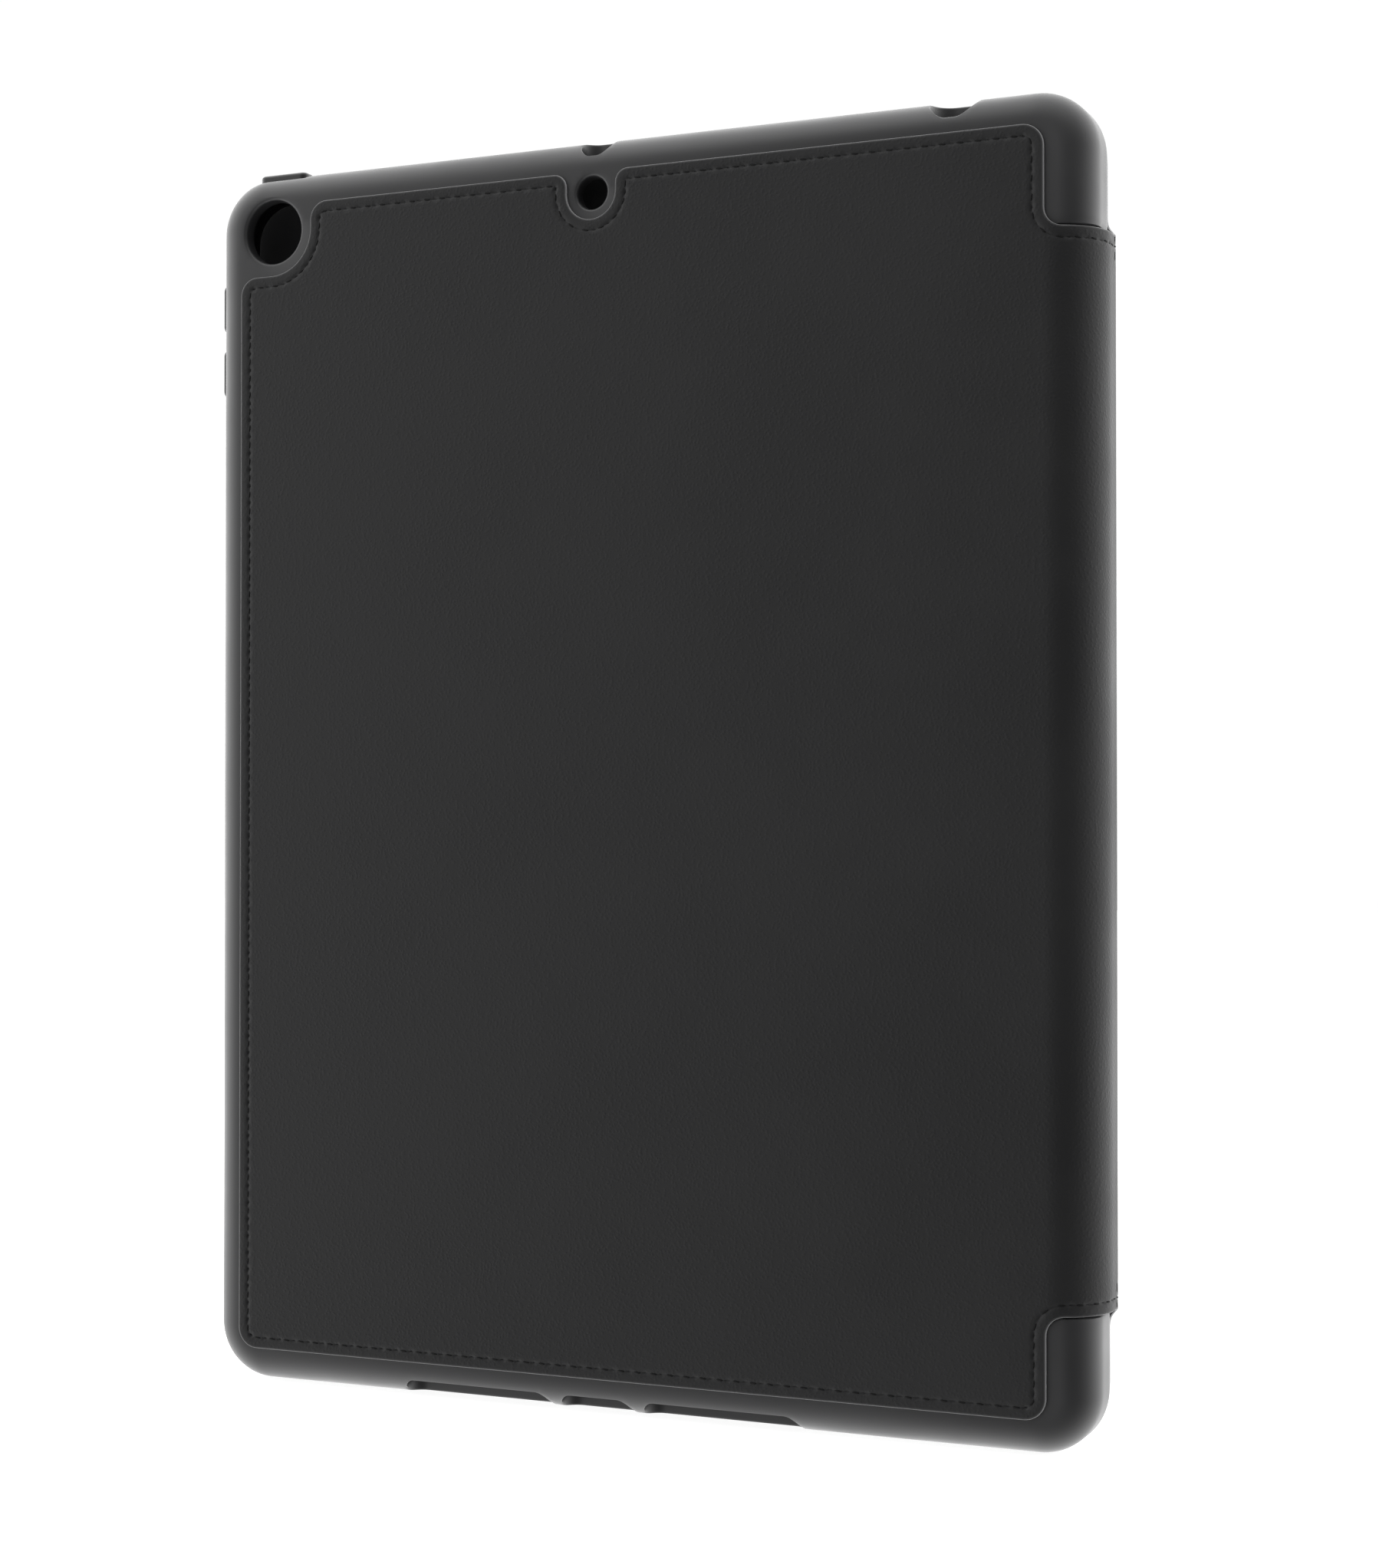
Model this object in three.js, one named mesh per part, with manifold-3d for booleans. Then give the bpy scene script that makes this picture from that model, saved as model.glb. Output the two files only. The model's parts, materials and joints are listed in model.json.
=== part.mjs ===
// Folio case for a ten inch tablet: a moulded shell with a pencil channel, a stitched leather
// back that turns into a soft spine, and a cover of three stiffened panels that folds into a stand.
//
// The case stands upright on its bottom edge. While it is modelled, X runs across it, Y from its
// back to its cover and Z up: X = 0 is the tablet's centre line, Y = 0 the shell's back face and
// Z = 0 its bottom edge. The whole case is then moved so that the origin is under its middle.

import * as THREE from 'three';
import { mergeVertices } from 'three/addons/utils/BufferGeometryUtils.js';
import Module from 'manifold-3d';

const wasm = await Module();
wasm.setup();

// ---------------------------------------------------------------- driving dimensions, in mm

// The tablet and the pencil that the case is made to hold
const TABLET_WIDTH = 174.1;
const TABLET_HEIGHT = 250.6;
const TABLET_DEPTH = 7.5;
const TABLET_CORNER = 9;
const TABLET_CLEARANCE = 0.25;
const TABLET_DEPTH_CLEARANCE = 0.3;
const PENCIL_DIAMETER = 8.9;
const PENCIL_LENGTH = 175.7;
const PENCIL_CLEARANCE = 0.35;

// The moulded shell
const SIDE_WALL = 3.1;
const END_WALL = 3.45;
const BACK_WALL = 3;
const LIP_THICKNESS = 1.2;
const LIP_REACH = 0.9;
const CHANNEL_RIB = 2.4;
const CHANNEL_OUTER_WALL = 4.4;
const CHANNEL_FLOOR = 2;
const SHELL_CORNER = 12;
const BACK_ROUND = 6.5;

// Holes in the shell, placed from the tablet's centre line and from its edges
const CAMERA_FROM_CENTRE = 75.6;
const CAMERA_BELOW_EDGE = 8.95;
const CAMERA_DIAMETER = 13.5;
const BACK_MIC_BELOW_EDGE = 7.7;
const BACK_MIC_DIAMETER = 6.6;
const HOLE_FLARE = 0.8;
const JACK_FROM_CENTRE = 75.7;
const JACK_DIAMETER = 10;
const TOP_MIC_WIDTH = 7.2;
const CHARGE_PORT_WIDTH = 16.2;
const SPEAKER_NEAR = 10.3;
const SPEAKER_FAR = 44.2;
const EDGE_HOLE_BACK = 2.7;
const EDGE_HOLE_FRONT = 10.3;
const EDGE_HOLE_ROUND = 3;

// Buttons: pads that slide in windows in the wall, in a shallow scooped recess
const PAD_LENGTH = { power: 11.6, volume: 10.4 };
const PAD_WIDTH = 4.2;
const PAD_PROUD = 1.2;
const PAD_CLEARANCE = 0.3;
const PAD_TRAVEL = 0.5;
const PAD_ROUND = 1.4;
const PAD_CROWN = 0.5;
const RECESS_DEPTH = 0.6;
const RECESS_MARGIN = 3.1;
const RECESS_WIDTH = 8;
const RECESS_ROUND = 3.5;
const POWER_FROM_CENTRE = 76.3;
const VOLUME_UP_BELOW_EDGE = 23.5;
const VOLUME_DOWN_BELOW_EDGE = 37.6;

// Sheet materials and the gaps between their glued faces
const LEATHER = 0.7;
const BACK_BOARD = 0.7;
const SPINE_BOARD = 0.4;
const SPINE_LINING = 0.35;
const COVER_LINING = 0.5;
const COVER_BOARD = 1.2;
const GLUE = 0.1;
const THIN_GLUE = 0.05;

// The leather back, inset from the shell's edges, and the tab that turns into the spine
const BACK_INSET = 7.2;
const BACK_INSET_SPINE_SIDE = 9.2;
const BACK_CORNER = 4.3;
const BACK_BOARD_INSET = 4;
const BOARD_CLEARANCE = 0.3;
const CAMERA_NOTCH_MARGIN = 2.85;
const CAMERA_NOTCH_CORNER = 3.9;
const MIC_NOTCH_MARGIN = 2.2;
const MIC_NOTCH_CORNER = 2.8;
const TAB_FROM_END = 26.8;
const TAB_FILLET = 2.2;
const TAB_RUN_OUT = 2.4;

// The seams
const SEAM_INSET = 2.3;
const THREAD_WIDTH = 0.5;
const THREAD_HEIGHT = 0.25;
const SEAM_GROOVE_WIDTH = 0.9;
const SEAM_GROOVE_DEPTH = 0.3;
const SEAM_END_GAP = 0.4;

// The spine: a quarter turn from the back to the side, and a tight one from the side to the cover
const SPINE_STAND_OFF = 1.15;
const SPINE_ROUND = 10.25;
const TAB_TO_CREASE_GAP = 0.3;
const CREASE_LINING_ANGLE = -84;
const CREASE_END_ANGLE = -18;
const SPINE_START_ANGLE = -15;
const SPINE_BOARD_INSET = 5;
const FRONT_CREASE_ROUND = 2.4;
const FRONT_CREASE_GAP = 0.2;
const SPINE_SEAT_GAP = 0.2;

// The cover
const COVER_GAP = 0.4;
const COVER_END_INSET = 0.6;
const COVER_CORNER = 10;
const COVER_SPINE_INSET = 0.5;
const COVER_RIM = 4;
const FOLD_RIM = 1.5;
const COVER_BOARD_CORNER = 4;
const CREASE_TO_PANEL = 0.45;
const TAB_TO_COVER_GAP = 0.3;
const FOLD_HALF_WIDTH = 2.8;
const WEB_HALF_WIDTH = 2.5;
const WEB_THICKNESS = 1;

// Parts inside the cover
const MAGNET = { width: 8, height: 20, thickness: 1, fromEdge: 6 };
const MAGNET_FROM_END = 58;
const SLEEP_MAGNET_FROM_END = 128;
const STEEL_STRIP = { width: 10, height: 120, thickness: 0.8, fromFold: 8 };
const INSERT_CLEARANCE = 0.15;

// How finely curves are cut up, how far a cutting tool runs past what it cuts, the tightest corner
// left where an outline is inset, and how close corners are joined to one
const OUTLINE_SEGMENTS = 8;
const ROUND_SEGMENTS = 6;
const CROWN_SEGMENTS = 2;
const PAD_SEGMENTS = 3;
const CUT_PAST = 1;
const TIGHTEST_CORNER = 0.5;
const JOIN_DISTANCE = 1e-4;

// ---------------------------------------------------------------- places that follow from them

const bay = {
  left: -TABLET_WIDTH / 2 - TABLET_CLEARANCE,
  right: TABLET_WIDTH / 2 + TABLET_CLEARANCE,
  bottom: END_WALL,
  top: END_WALL + TABLET_HEIGHT + 2 * TABLET_CLEARANCE,
  back: BACK_WALL,
  front: BACK_WALL + TABLET_DEPTH + TABLET_DEPTH_CLEARANCE,
};
const tabletTop = bay.top - TABLET_CLEARANCE;
const edgeMiddle = (bay.back + bay.front) / 2;

const channelWidth = PENCIL_DIAMETER + 2 * PENCIL_CLEARANCE;
const channel = {
  middle: bay.right + CHANNEL_RIB + channelWidth / 2,
  length: PENCIL_LENGTH + 4 * PENCIL_CLEARANCE,
};

const shell = {
  left: bay.left - SIDE_WALL,
  right: bay.right + CHANNEL_RIB + channelWidth + CHANNEL_OUTER_WALL,
  height: bay.top + END_WALL,
  front: bay.front + LIP_THICKNESS,
};

const backLeather = { outer: -THIN_GLUE - LEATHER, inner: -THIN_GLUE };
const panel = {
  left: shell.left + BACK_INSET,
  right: shell.right - BACK_INSET_SPINE_SIDE,
  bottom: BACK_INSET,
  top: shell.height - BACK_INSET,
};
const tab = {
  bottom: TAB_FROM_END,
  top: shell.height - TAB_FROM_END,
  right: panel.right + TAB_RUN_OUT,
};

const spineOuter = shell.right + SPINE_STAND_OFF;
const spineTurn = { x: spineOuter - SPINE_ROUND, y: backLeather.outer + SPINE_ROUND };
const liningRadius = SPINE_ROUND - LEATHER - SPINE_BOARD - SPINE_LINING - 2 * THIN_GLUE;
const seatRadius = liningRadius - SPINE_SEAT_GAP;

const cover = {
  inner: shell.front + COVER_GAP,
  boardInner: shell.front + COVER_GAP + COVER_LINING + GLUE,
  boardOuter: shell.front + COVER_GAP + COVER_LINING + GLUE + COVER_BOARD,
  outer: shell.front + COVER_GAP + COVER_LINING + COVER_BOARD + LEATHER + 2 * GLUE,
  left: shell.left,
  right: shell.right - COVER_SPINE_INSET,
  bottom: COVER_END_INSET,
  top: shell.height - COVER_END_INSET,
};
const frontTurn = { x: spineOuter - FRONT_CREASE_ROUND, y: cover.outer - FRONT_CREASE_ROUND };
const creaseEdge = frontTurn.x - CREASE_TO_PANEL;
const panelWidth = (creaseEdge - cover.left - 4 * FOLD_HALF_WIDTH) / 3;
const foldAxisY = (cover.inner + cover.outer) / 2;
const fold1X = creaseEdge - panelWidth - FOLD_HALF_WIDTH;
const fold2X = fold1X - panelWidth - 2 * FOLD_HALF_WIDTH;

// ---------------------------------------------------------------- materials

function finish(colour, roughness, metalness = 0) {
  return new THREE.MeshStandardMaterial({ color: colour, roughness, metalness });
}

const MOULDED = finish(0x35383b, 0.45);
const HIDE = finish(0x2b2b2c, 0.6);
const THREAD = finish(0x1c1c1c, 0.8);
const SUEDE = finish(0x3a3a3d, 0.95);
const BOARD = finish(0x8b8478, 0.85);
const MAGNET_METAL = finish(0xb9bcc0, 0.35, 1);
const STEEL = finish(0x9a9da1, 0.4, 1);

// ---------------------------------------------------------------- shapes and solids

function arcPoints(x, y, radius, fromDegrees, toDegrees, steps = OUTLINE_SEGMENTS) {
  const points = [];
  for (let i = 0; i <= steps; i += 1) {
    const angle = THREE.MathUtils.degToRad(fromDegrees + ((toDegrees - fromDegrees) * i) / steps);
    points.push(new THREE.Vector2(x + radius * Math.cos(angle), y + radius * Math.sin(angle)));
  }
  return points;
}

function roundedRectangle(left, bottom, right, top, radius, steps = OUTLINE_SEGMENTS) {
  return new THREE.Shape([
    ...arcPoints(right - radius, bottom + radius, radius, -90, 0, steps),
    ...arcPoints(right - radius, top - radius, radius, 0, 90, steps),
    ...arcPoints(left + radius, top - radius, radius, 90, 180, steps),
    ...arcPoints(left + radius, bottom + radius, radius, 180, 270, steps),
  ]);
}

function circle(x, y, radius) {
  return new THREE.Shape(arcPoints(x, y, radius, 0, 360, 4 * OUTLINE_SEGMENTS).slice(0, -1));
}

// A ring sector between two radii, as a section of bent sheet
function bentSheet(turn, innerRadius, outerRadius, fromDegrees, toDegrees) {
  return [
    ...arcPoints(turn.x, turn.y, outerRadius, fromDegrees, toDegrees),
    ...arcPoints(turn.x, turn.y, innerRadius, toDegrees, fromDegrees),
  ];
}

// Each of these extrudes a shape along one axis, between two positions on it. The shape's own
// axes are X and Z for alongY, X and Y for alongZ, and Y and Z for alongX.
function extruded(shape, length, basis, bevel) {
  const settings = { depth: length, bevelEnabled: false };
  if (bevel > 0) {
    Object.assign(settings, {
      depth: length - 2 * bevel,
      bevelEnabled: true,
      bevelThickness: bevel,
      bevelSize: bevel,
      bevelOffset: -bevel,
      bevelSegments: bevel === BACK_ROUND ? ROUND_SEGMENTS : CROWN_SEGMENTS,
    });
  }
  const geometry = new THREE.ExtrudeGeometry(shape, settings);
  geometry.translate(0, 0, bevel);
  geometry.applyMatrix4(basis);
  return geometry;
}

function alongY(shape, from, to, bevel = 0) {
  const basis = new THREE.Matrix4().makeRotationX(Math.PI / 2);
  return extruded(shape, to - from, basis, bevel).translate(0, to, 0);
}

function alongZ(shape, from, to, bevel = 0) {
  return extruded(shape, to - from, new THREE.Matrix4(), bevel).translate(0, 0, from);
}

function alongX(shape, from, to, bevel = 0) {
  const basis = new THREE.Matrix4().makeBasis(
    new THREE.Vector3(0, 1, 0),
    new THREE.Vector3(0, 0, 1),
    new THREE.Vector3(1, 0, 0),
  );
  return extruded(shape, to - from, basis, bevel).translate(from, 0, 0);
}

function box(x0, y0, z0, x1, y1, z1) {
  const geometry = new THREE.BoxGeometry(x1 - x0, y1 - y0, z1 - z0);
  return geometry.translate((x0 + x1) / 2, (y0 + y1) / 2, (z0 + z1) / 2);
}

function toSolid(geometry) {
  const bare = geometry.clone();
  bare.deleteAttribute('normal');
  bare.deleteAttribute('uv');
  const merged = mergeVertices(bare, JOIN_DISTANCE);
  const vertProperties = new Float32Array(merged.attributes.position.array);
  const triVerts = new Uint32Array(merged.index.array);
  return new wasm.Manifold(new wasm.Mesh({ numProp: 3, vertProperties, triVerts }));
}

function toGeometry(solid) {
  const mesh = solid.getMesh();
  const geometry = new THREE.BufferGeometry();
  geometry.setAttribute('position', new THREE.BufferAttribute(mesh.vertProperties, 3));
  geometry.setIndex(new THREE.BufferAttribute(mesh.triVerts, 1));
  geometry.computeVertexNormals();
  return geometry;
}

function cutFrom(base, tools) {
  let solid = toSolid(base);
  for (const tool of tools) {
    solid = solid.subtract(toSolid(tool));
  }
  return toGeometry(solid);
}

function named(name, geometry, material) {
  const mesh = new THREE.Mesh(geometry, material);
  mesh.name = name;
  return mesh;
}

// ---------------------------------------------------------------- the leather back's outline

// The edge of the leather back, moved inwards by an inset, from the top edge of its tab, round the
// panel and its two notches, to the bottom edge of the tab. Rounds grow or shrink with the inset.
function backEdge(inset, tabRight) {
  const left = panel.left + inset;
  const right = panel.right - inset;
  const bottom = panel.bottom + inset;
  const top = panel.top - inset;
  const corner = Math.max(BACK_CORNER - inset, TIGHTEST_CORNER);
  const camera = { x: -CAMERA_FROM_CENTRE, y: tabletTop - CAMERA_BELOW_EDGE };
  const cameraRadius = CAMERA_DIAMETER / 2 + CAMERA_NOTCH_MARGIN + inset;
  const cameraCorner = Math.max(CAMERA_NOTCH_CORNER - inset, TIGHTEST_CORNER);
  const cameraSide = camera.x + cameraRadius;
  const cameraLow = camera.y - cameraRadius;
  const micRadius = BACK_MIC_DIAMETER / 2 + MIC_NOTCH_MARGIN + inset;
  const micCorner = Math.max(MIC_NOTCH_CORNER - inset, TIGHTEST_CORNER);
  const micHeight = tabletTop - BACK_MIC_BELOW_EDGE;
  return [
    new THREE.Vector2(tabRight, tab.top - inset),
    ...arcPoints(right + TAB_FILLET, tab.top - inset + TAB_FILLET, TAB_FILLET, 270, 180),
    ...arcPoints(right - corner, top - corner, corner, 0, 90),
    ...arcPoints(micRadius + micCorner, top - micCorner, micCorner, 90, 180),
    ...arcPoints(0, micHeight, micRadius, 0, -180, 2 * OUTLINE_SEGMENTS),
    ...arcPoints(-micRadius - micCorner, top - micCorner, micCorner, 0, 90),
    ...arcPoints(cameraSide + cameraCorner, top - cameraCorner, cameraCorner, 90, 180),
    ...arcPoints(camera.x, camera.y, cameraRadius, 0, -90),
    ...arcPoints(left + cameraCorner, cameraLow - cameraCorner, cameraCorner, 90, 180),
    ...arcPoints(left + corner, bottom + corner, corner, 180, 270),
    ...arcPoints(right - corner, bottom + corner, corner, -90, 0),
    ...arcPoints(right + TAB_FILLET, tab.bottom + inset - TAB_FILLET, TAB_FILLET, 180, 90),
    new THREE.Vector2(tabRight, tab.bottom + inset),
  ];
}

// A band of the given width along that edge
function backSeamBand(width, tabRight) {
  const outer = backEdge(SEAM_INSET - width / 2, tabRight);
  const inner = backEdge(SEAM_INSET + width / 2, tabRight);
  return new THREE.Shape([...outer, ...inner.reverse()]);
}

function boardOutline(inset) {
  return new THREE.Shape(backEdge(inset, panel.right - inset + 2 * TAB_FILLET).slice(1, -1));
}

// ---------------------------------------------------------------- the moulded shell

const padPlaces = [
  {
    name: 'power_button',
    across: -POWER_FROM_CENTRE,
    length: PAD_LENGTH.power,
    onTop: true,
  },
  {
    name: 'volume_up_button',
    across: tabletTop - VOLUME_UP_BELOW_EDGE,
    length: PAD_LENGTH.volume,
    onTop: false,
  },
  {
    name: 'volume_down_button',
    across: tabletTop - VOLUME_DOWN_BELOW_EDGE,
    length: PAD_LENGTH.volume,
    onTop: false,
  },
];

// A pad's outline: along the edge first and through the case's depth second on the top edge, and
// the other way round on the side, as alongZ and alongX take them
function padOutline(pad, margin, width, round) {
  const near = pad.across - pad.length / 2 - margin;
  const far = pad.across + pad.length / 2 + margin;
  const back = edgeMiddle - width / 2;
  const front = edgeMiddle + width / 2;
  if (pad.onTop) {
    return roundedRectangle(near, back, far, front, round, PAD_SEGMENTS);
  }
  return roundedRectangle(back, near, front, far, round, PAD_SEGMENTS);
}

function padWindow(pad) {
  const width = PAD_WIDTH + 2 * PAD_CLEARANCE;
  const outline = padOutline(pad, PAD_CLEARANCE, width, PAD_ROUND + PAD_CLEARANCE);
  if (pad.onTop) {
    return alongZ(outline, bay.top - CUT_PAST, shell.height + CUT_PAST);
  }
  return alongX(outline, shell.left - CUT_PAST, bay.left + CUT_PAST);
}

function buttonPad(pad) {
  const outline = padOutline(pad, 0, PAD_WIDTH, PAD_ROUND);
  const inside = PAD_TRAVEL + PAD_CLEARANCE / 2;
  const geometry = pad.onTop
    ? alongZ(outline, bay.top + inside, shell.height + PAD_PROUD, PAD_CROWN)
    : alongX(outline, shell.left - PAD_PROUD, bay.left - inside, PAD_CROWN);
  return named(`${pad.name}_pad`, geometry, MOULDED);
}

// The scooped recess round one pad on the top edge, and the one round both pads on the side
function padRecesses() {
  const [power, volumeUp, volumeDown] = padPlaces;
  const topRecess = padOutline(power, RECESS_MARGIN, RECESS_WIDTH, RECESS_ROUND);
  const both = {
    across: (volumeUp.across + volumeDown.across) / 2,
    length: volumeUp.across - volumeDown.across + PAD_LENGTH.volume,
    onTop: false,
  };
  const sideRecess = padOutline(both, RECESS_MARGIN, RECESS_WIDTH, RECESS_ROUND);
  return [
    alongZ(topRecess, shell.height - RECESS_DEPTH, shell.height + CUT_PAST),
    alongX(sideRecess, shell.left - CUT_PAST, shell.left + RECESS_DEPTH),
  ];
}

// A round hole through the shell's back, flared outwards
function backHole(x, z, diameter) {
  const radius = diameter / 2;
  const profile = [
    new THREE.Vector2(0, -CUT_PAST),
    new THREE.Vector2(radius + HOLE_FLARE, -CUT_PAST),
    new THREE.Vector2(radius + HOLE_FLARE, 0),
    new THREE.Vector2(radius, HOLE_FLARE),
    new THREE.Vector2(radius, bay.back + CUT_PAST),
    new THREE.Vector2(0, bay.back + CUT_PAST),
  ];
  const geometry = new THREE.LatheGeometry(profile, 4 * OUTLINE_SEGMENTS);
  return geometry.translate(x, 0, z);
}

function edgeHole(left, right, atTop) {
  const outline = roundedRectangle(left, EDGE_HOLE_BACK, right, EDGE_HOLE_FRONT, EDGE_HOLE_ROUND);
  if (atTop) {
    return alongZ(outline, bay.top - CUT_PAST, shell.height + CUT_PAST);
  }
  return alongZ(outline, -CUT_PAST, bay.bottom + CUT_PAST);
}

function pencilChannel() {
  const radius = channelWidth / 2;
  const floorTurn = CHANNEL_FLOOR + radius;
  const section = new THREE.Shape([
    ...arcPoints(channel.middle, floorTurn, radius, 180, 360, 2 * OUTLINE_SEGMENTS),
    new THREE.Vector2(channel.middle + radius, shell.front + CUT_PAST),
    new THREE.Vector2(channel.middle - radius, shell.front + CUT_PAST),
  ]);
  const middle = shell.height / 2;
  return alongZ(section, middle - channel.length / 2, middle + channel.length / 2);
}

// What is taken off the shell's spine side so that the tab and the spine lie against it
function spineSeat() {
  const section = new THREE.Shape([
    ...arcPoints(spineTurn.x, spineTurn.y, seatRadius, -90, 0, 2 * OUTLINE_SEGMENTS),
    new THREE.Vector2(spineTurn.x + seatRadius, shell.front + CUT_PAST),
    new THREE.Vector2(shell.right + CUT_PAST, shell.front + CUT_PAST),
    new THREE.Vector2(shell.right + CUT_PAST, -CUT_PAST),
    new THREE.Vector2(spineTurn.x, -CUT_PAST),
  ]);
  return alongZ(section, tab.bottom - TAB_TO_COVER_GAP, tab.top + TAB_TO_COVER_GAP);
}

// The block is rounded at its back and its front, and the rounded front is then cut away
function mouldedShell() {
  const outline = roundedRectangle(shell.left, 0, shell.right, shell.height, SHELL_CORNER);
  const blockFront = shell.front + 2 * BACK_ROUND;
  const block = alongY(outline, 0, blockFront, BACK_ROUND);
  const bayOutline = roundedRectangle(bay.left, bay.bottom, bay.right, bay.top, TABLET_CORNER);
  const mouth = roundedRectangle(
    bay.left + LIP_REACH,
    bay.bottom + LIP_REACH,
    bay.right - LIP_REACH,
    bay.top - LIP_REACH,
    TABLET_CORNER - LIP_REACH,
  );
  const boardRecess = boardOutline(BACK_BOARD_INSET - BOARD_CLEARANCE);
  const jack = circle(JACK_FROM_CENTRE, (EDGE_HOLE_BACK + EDGE_HOLE_FRONT) / 2, JACK_DIAMETER / 2);
  return cutFrom(block, [
    box(
      shell.left - CUT_PAST,
      shell.front,
      -CUT_PAST,
      shell.right + CUT_PAST,
      blockFront + CUT_PAST,
      shell.height + CUT_PAST,
    ),
    alongY(bayOutline, bay.back, bay.front),
    alongY(mouth, bay.back + CUT_PAST, shell.front + CUT_PAST),
    pencilChannel(),
    spineSeat(),
    alongY(boardRecess, -CUT_PAST, BACK_BOARD + THIN_GLUE),
    backHole(-CAMERA_FROM_CENTRE, tabletTop - CAMERA_BELOW_EDGE, CAMERA_DIAMETER),
    backHole(0, tabletTop - BACK_MIC_BELOW_EDGE, BACK_MIC_DIAMETER),
    alongZ(jack, bay.top - CUT_PAST, shell.height + CUT_PAST),
    edgeHole(-TOP_MIC_WIDTH / 2, TOP_MIC_WIDTH / 2, true),
    edgeHole(-CHARGE_PORT_WIDTH / 2, CHARGE_PORT_WIDTH / 2, false),
    edgeHole(-SPEAKER_FAR, -SPEAKER_NEAR, false),
    edgeHole(SPEAKER_NEAR, SPEAKER_FAR, false),
    ...padRecesses(),
    ...padPlaces.map(padWindow),
  ]);
}

// ---------------------------------------------------------------- the leather back

function backPieces() {
  const outline = new THREE.Shape(backEdge(0, tab.right));
  const hide = alongY(outline, backLeather.outer, backLeather.inner);
  const groove = alongY(
    backSeamBand(SEAM_GROOVE_WIDTH, tab.right + CUT_PAST),
    backLeather.outer - CUT_PAST,
    backLeather.outer + SEAM_GROOVE_DEPTH,
  );
  const thread = alongY(
    backSeamBand(THREAD_WIDTH, tab.right - SEAM_END_GAP),
    backLeather.outer,
    backLeather.outer + THREAD_HEIGHT,
  );
  const board = alongY(boardOutline(BACK_BOARD_INSET), 0, BACK_BOARD);
  return [
    named('back_leather', cutFrom(hide, [groove]), HIDE),
    named('back_seam_thread', thread, THREAD),
    named('back_board', board, BOARD),
  ];
}

// The bottom and top of a straight band of the given width, round a height
function bandLevel(height, width) {
  return { bottom: height - width / 2, top: height + width / 2 };
}

const tabSeams = [
  { name: 'lower', height: tab.bottom + SEAM_INSET },
  { name: 'upper', height: tab.top - SEAM_INSET },
];

// A bent sheet of the tab or the spine with its two seam grooves, and the two threads in them.
// section(outer, thickness) gives the sheet's section at a depth below the outer face.
function seamedSheet(name, section) {
  const sheet = alongZ(section(SPINE_ROUND, LEATHER), tab.bottom, tab.top);
  const grooves = tabSeams.map((seam) => {
    const level = bandLevel(seam.height, SEAM_GROOVE_WIDTH);
    const cut = section(SPINE_ROUND + CUT_PAST, CUT_PAST + SEAM_GROOVE_DEPTH);
    return alongZ(cut, level.bottom, level.top);
  });
  const threads = tabSeams.map((seam) => {
    const level = bandLevel(seam.height, THREAD_WIDTH);
    const strip = alongZ(section(SPINE_ROUND, THREAD_HEIGHT), level.bottom, level.top);
    return named(`${name}_${seam.name}_thread`, strip, THREAD);
  });
  return [named(`${name}_leather`, cutFrom(sheet, grooves), HIDE), ...threads];
}

// The tab's leather and lining where they turn round the shell's edge
function backCreasePieces() {
  const offset = tab.right + TAB_TO_CREASE_GAP - spineTurn.x;
  const start = -90 + THREE.MathUtils.radToDeg(Math.asin(offset / SPINE_ROUND));
  const section = (outer, thickness) => new THREE.Shape(
    bentSheet(spineTurn, outer - thickness, outer, start, CREASE_END_ANGLE),
  );
  const liningSection = new THREE.Shape(bentSheet(
    spineTurn,
    liningRadius,
    liningRadius + SPINE_LINING,
    CREASE_LINING_ANGLE,
    CREASE_END_ANGLE,
  ));
  const lining = alongZ(liningSection, tab.bottom, tab.top);
  return [
    ...seamedSheet('back_crease', section),
    named('back_crease_lining', lining, SUEDE),
  ];
}

// ---------------------------------------------------------------- the spine

// The end of the turn and the flat that follows it, up to the front crease
function spineSection(outer, thickness) {
  const end = frontTurn.y - FRONT_CREASE_GAP;
  const outerX = spineTurn.x + outer;
  return new THREE.Shape([
    ...arcPoints(spineTurn.x, spineTurn.y, outer, SPINE_START_ANGLE, 0),
    new THREE.Vector2(outerX, end),
    new THREE.Vector2(outerX - thickness, end),
    ...arcPoints(spineTurn.x, spineTurn.y, outer - thickness, 0, SPINE_START_ANGLE),
  ]);
}

function spinePieces() {
  const boardOuter = SPINE_ROUND - LEATHER - THIN_GLUE;
  const board = alongZ(
    spineSection(boardOuter, SPINE_BOARD),
    tab.bottom + SPINE_BOARD_INSET,
    tab.top - SPINE_BOARD_INSET,
  );
  const liningShape = spineSection(liningRadius + SPINE_LINING, SPINE_LINING);
  const lining = alongZ(liningShape, tab.bottom, tab.top);
  const creaseInner = FRONT_CREASE_ROUND - LEATHER;
  const creaseShape = bentSheet(frontTurn, creaseInner, FRONT_CREASE_ROUND, 0, 90);
  const creaseLiningShape = bentSheet(
    frontTurn,
    creaseInner - THIN_GLUE - SPINE_LINING,
    creaseInner - THIN_GLUE,
    0,
    90,
  );
  const creaseLining = alongZ(new THREE.Shape(creaseLiningShape), tab.bottom, tab.top);
  return [
    ...seamedSheet('spine', spineSection),
    named('spine_board', board, BOARD),
    named('spine_lining', lining, SUEDE),
    named('front_crease_leather', alongZ(new THREE.Shape(creaseShape), tab.bottom, tab.top), HIDE),
    named('front_crease_lining', creaseLining, SUEDE),
  ];
}

// ---------------------------------------------------------------- the cover

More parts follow.
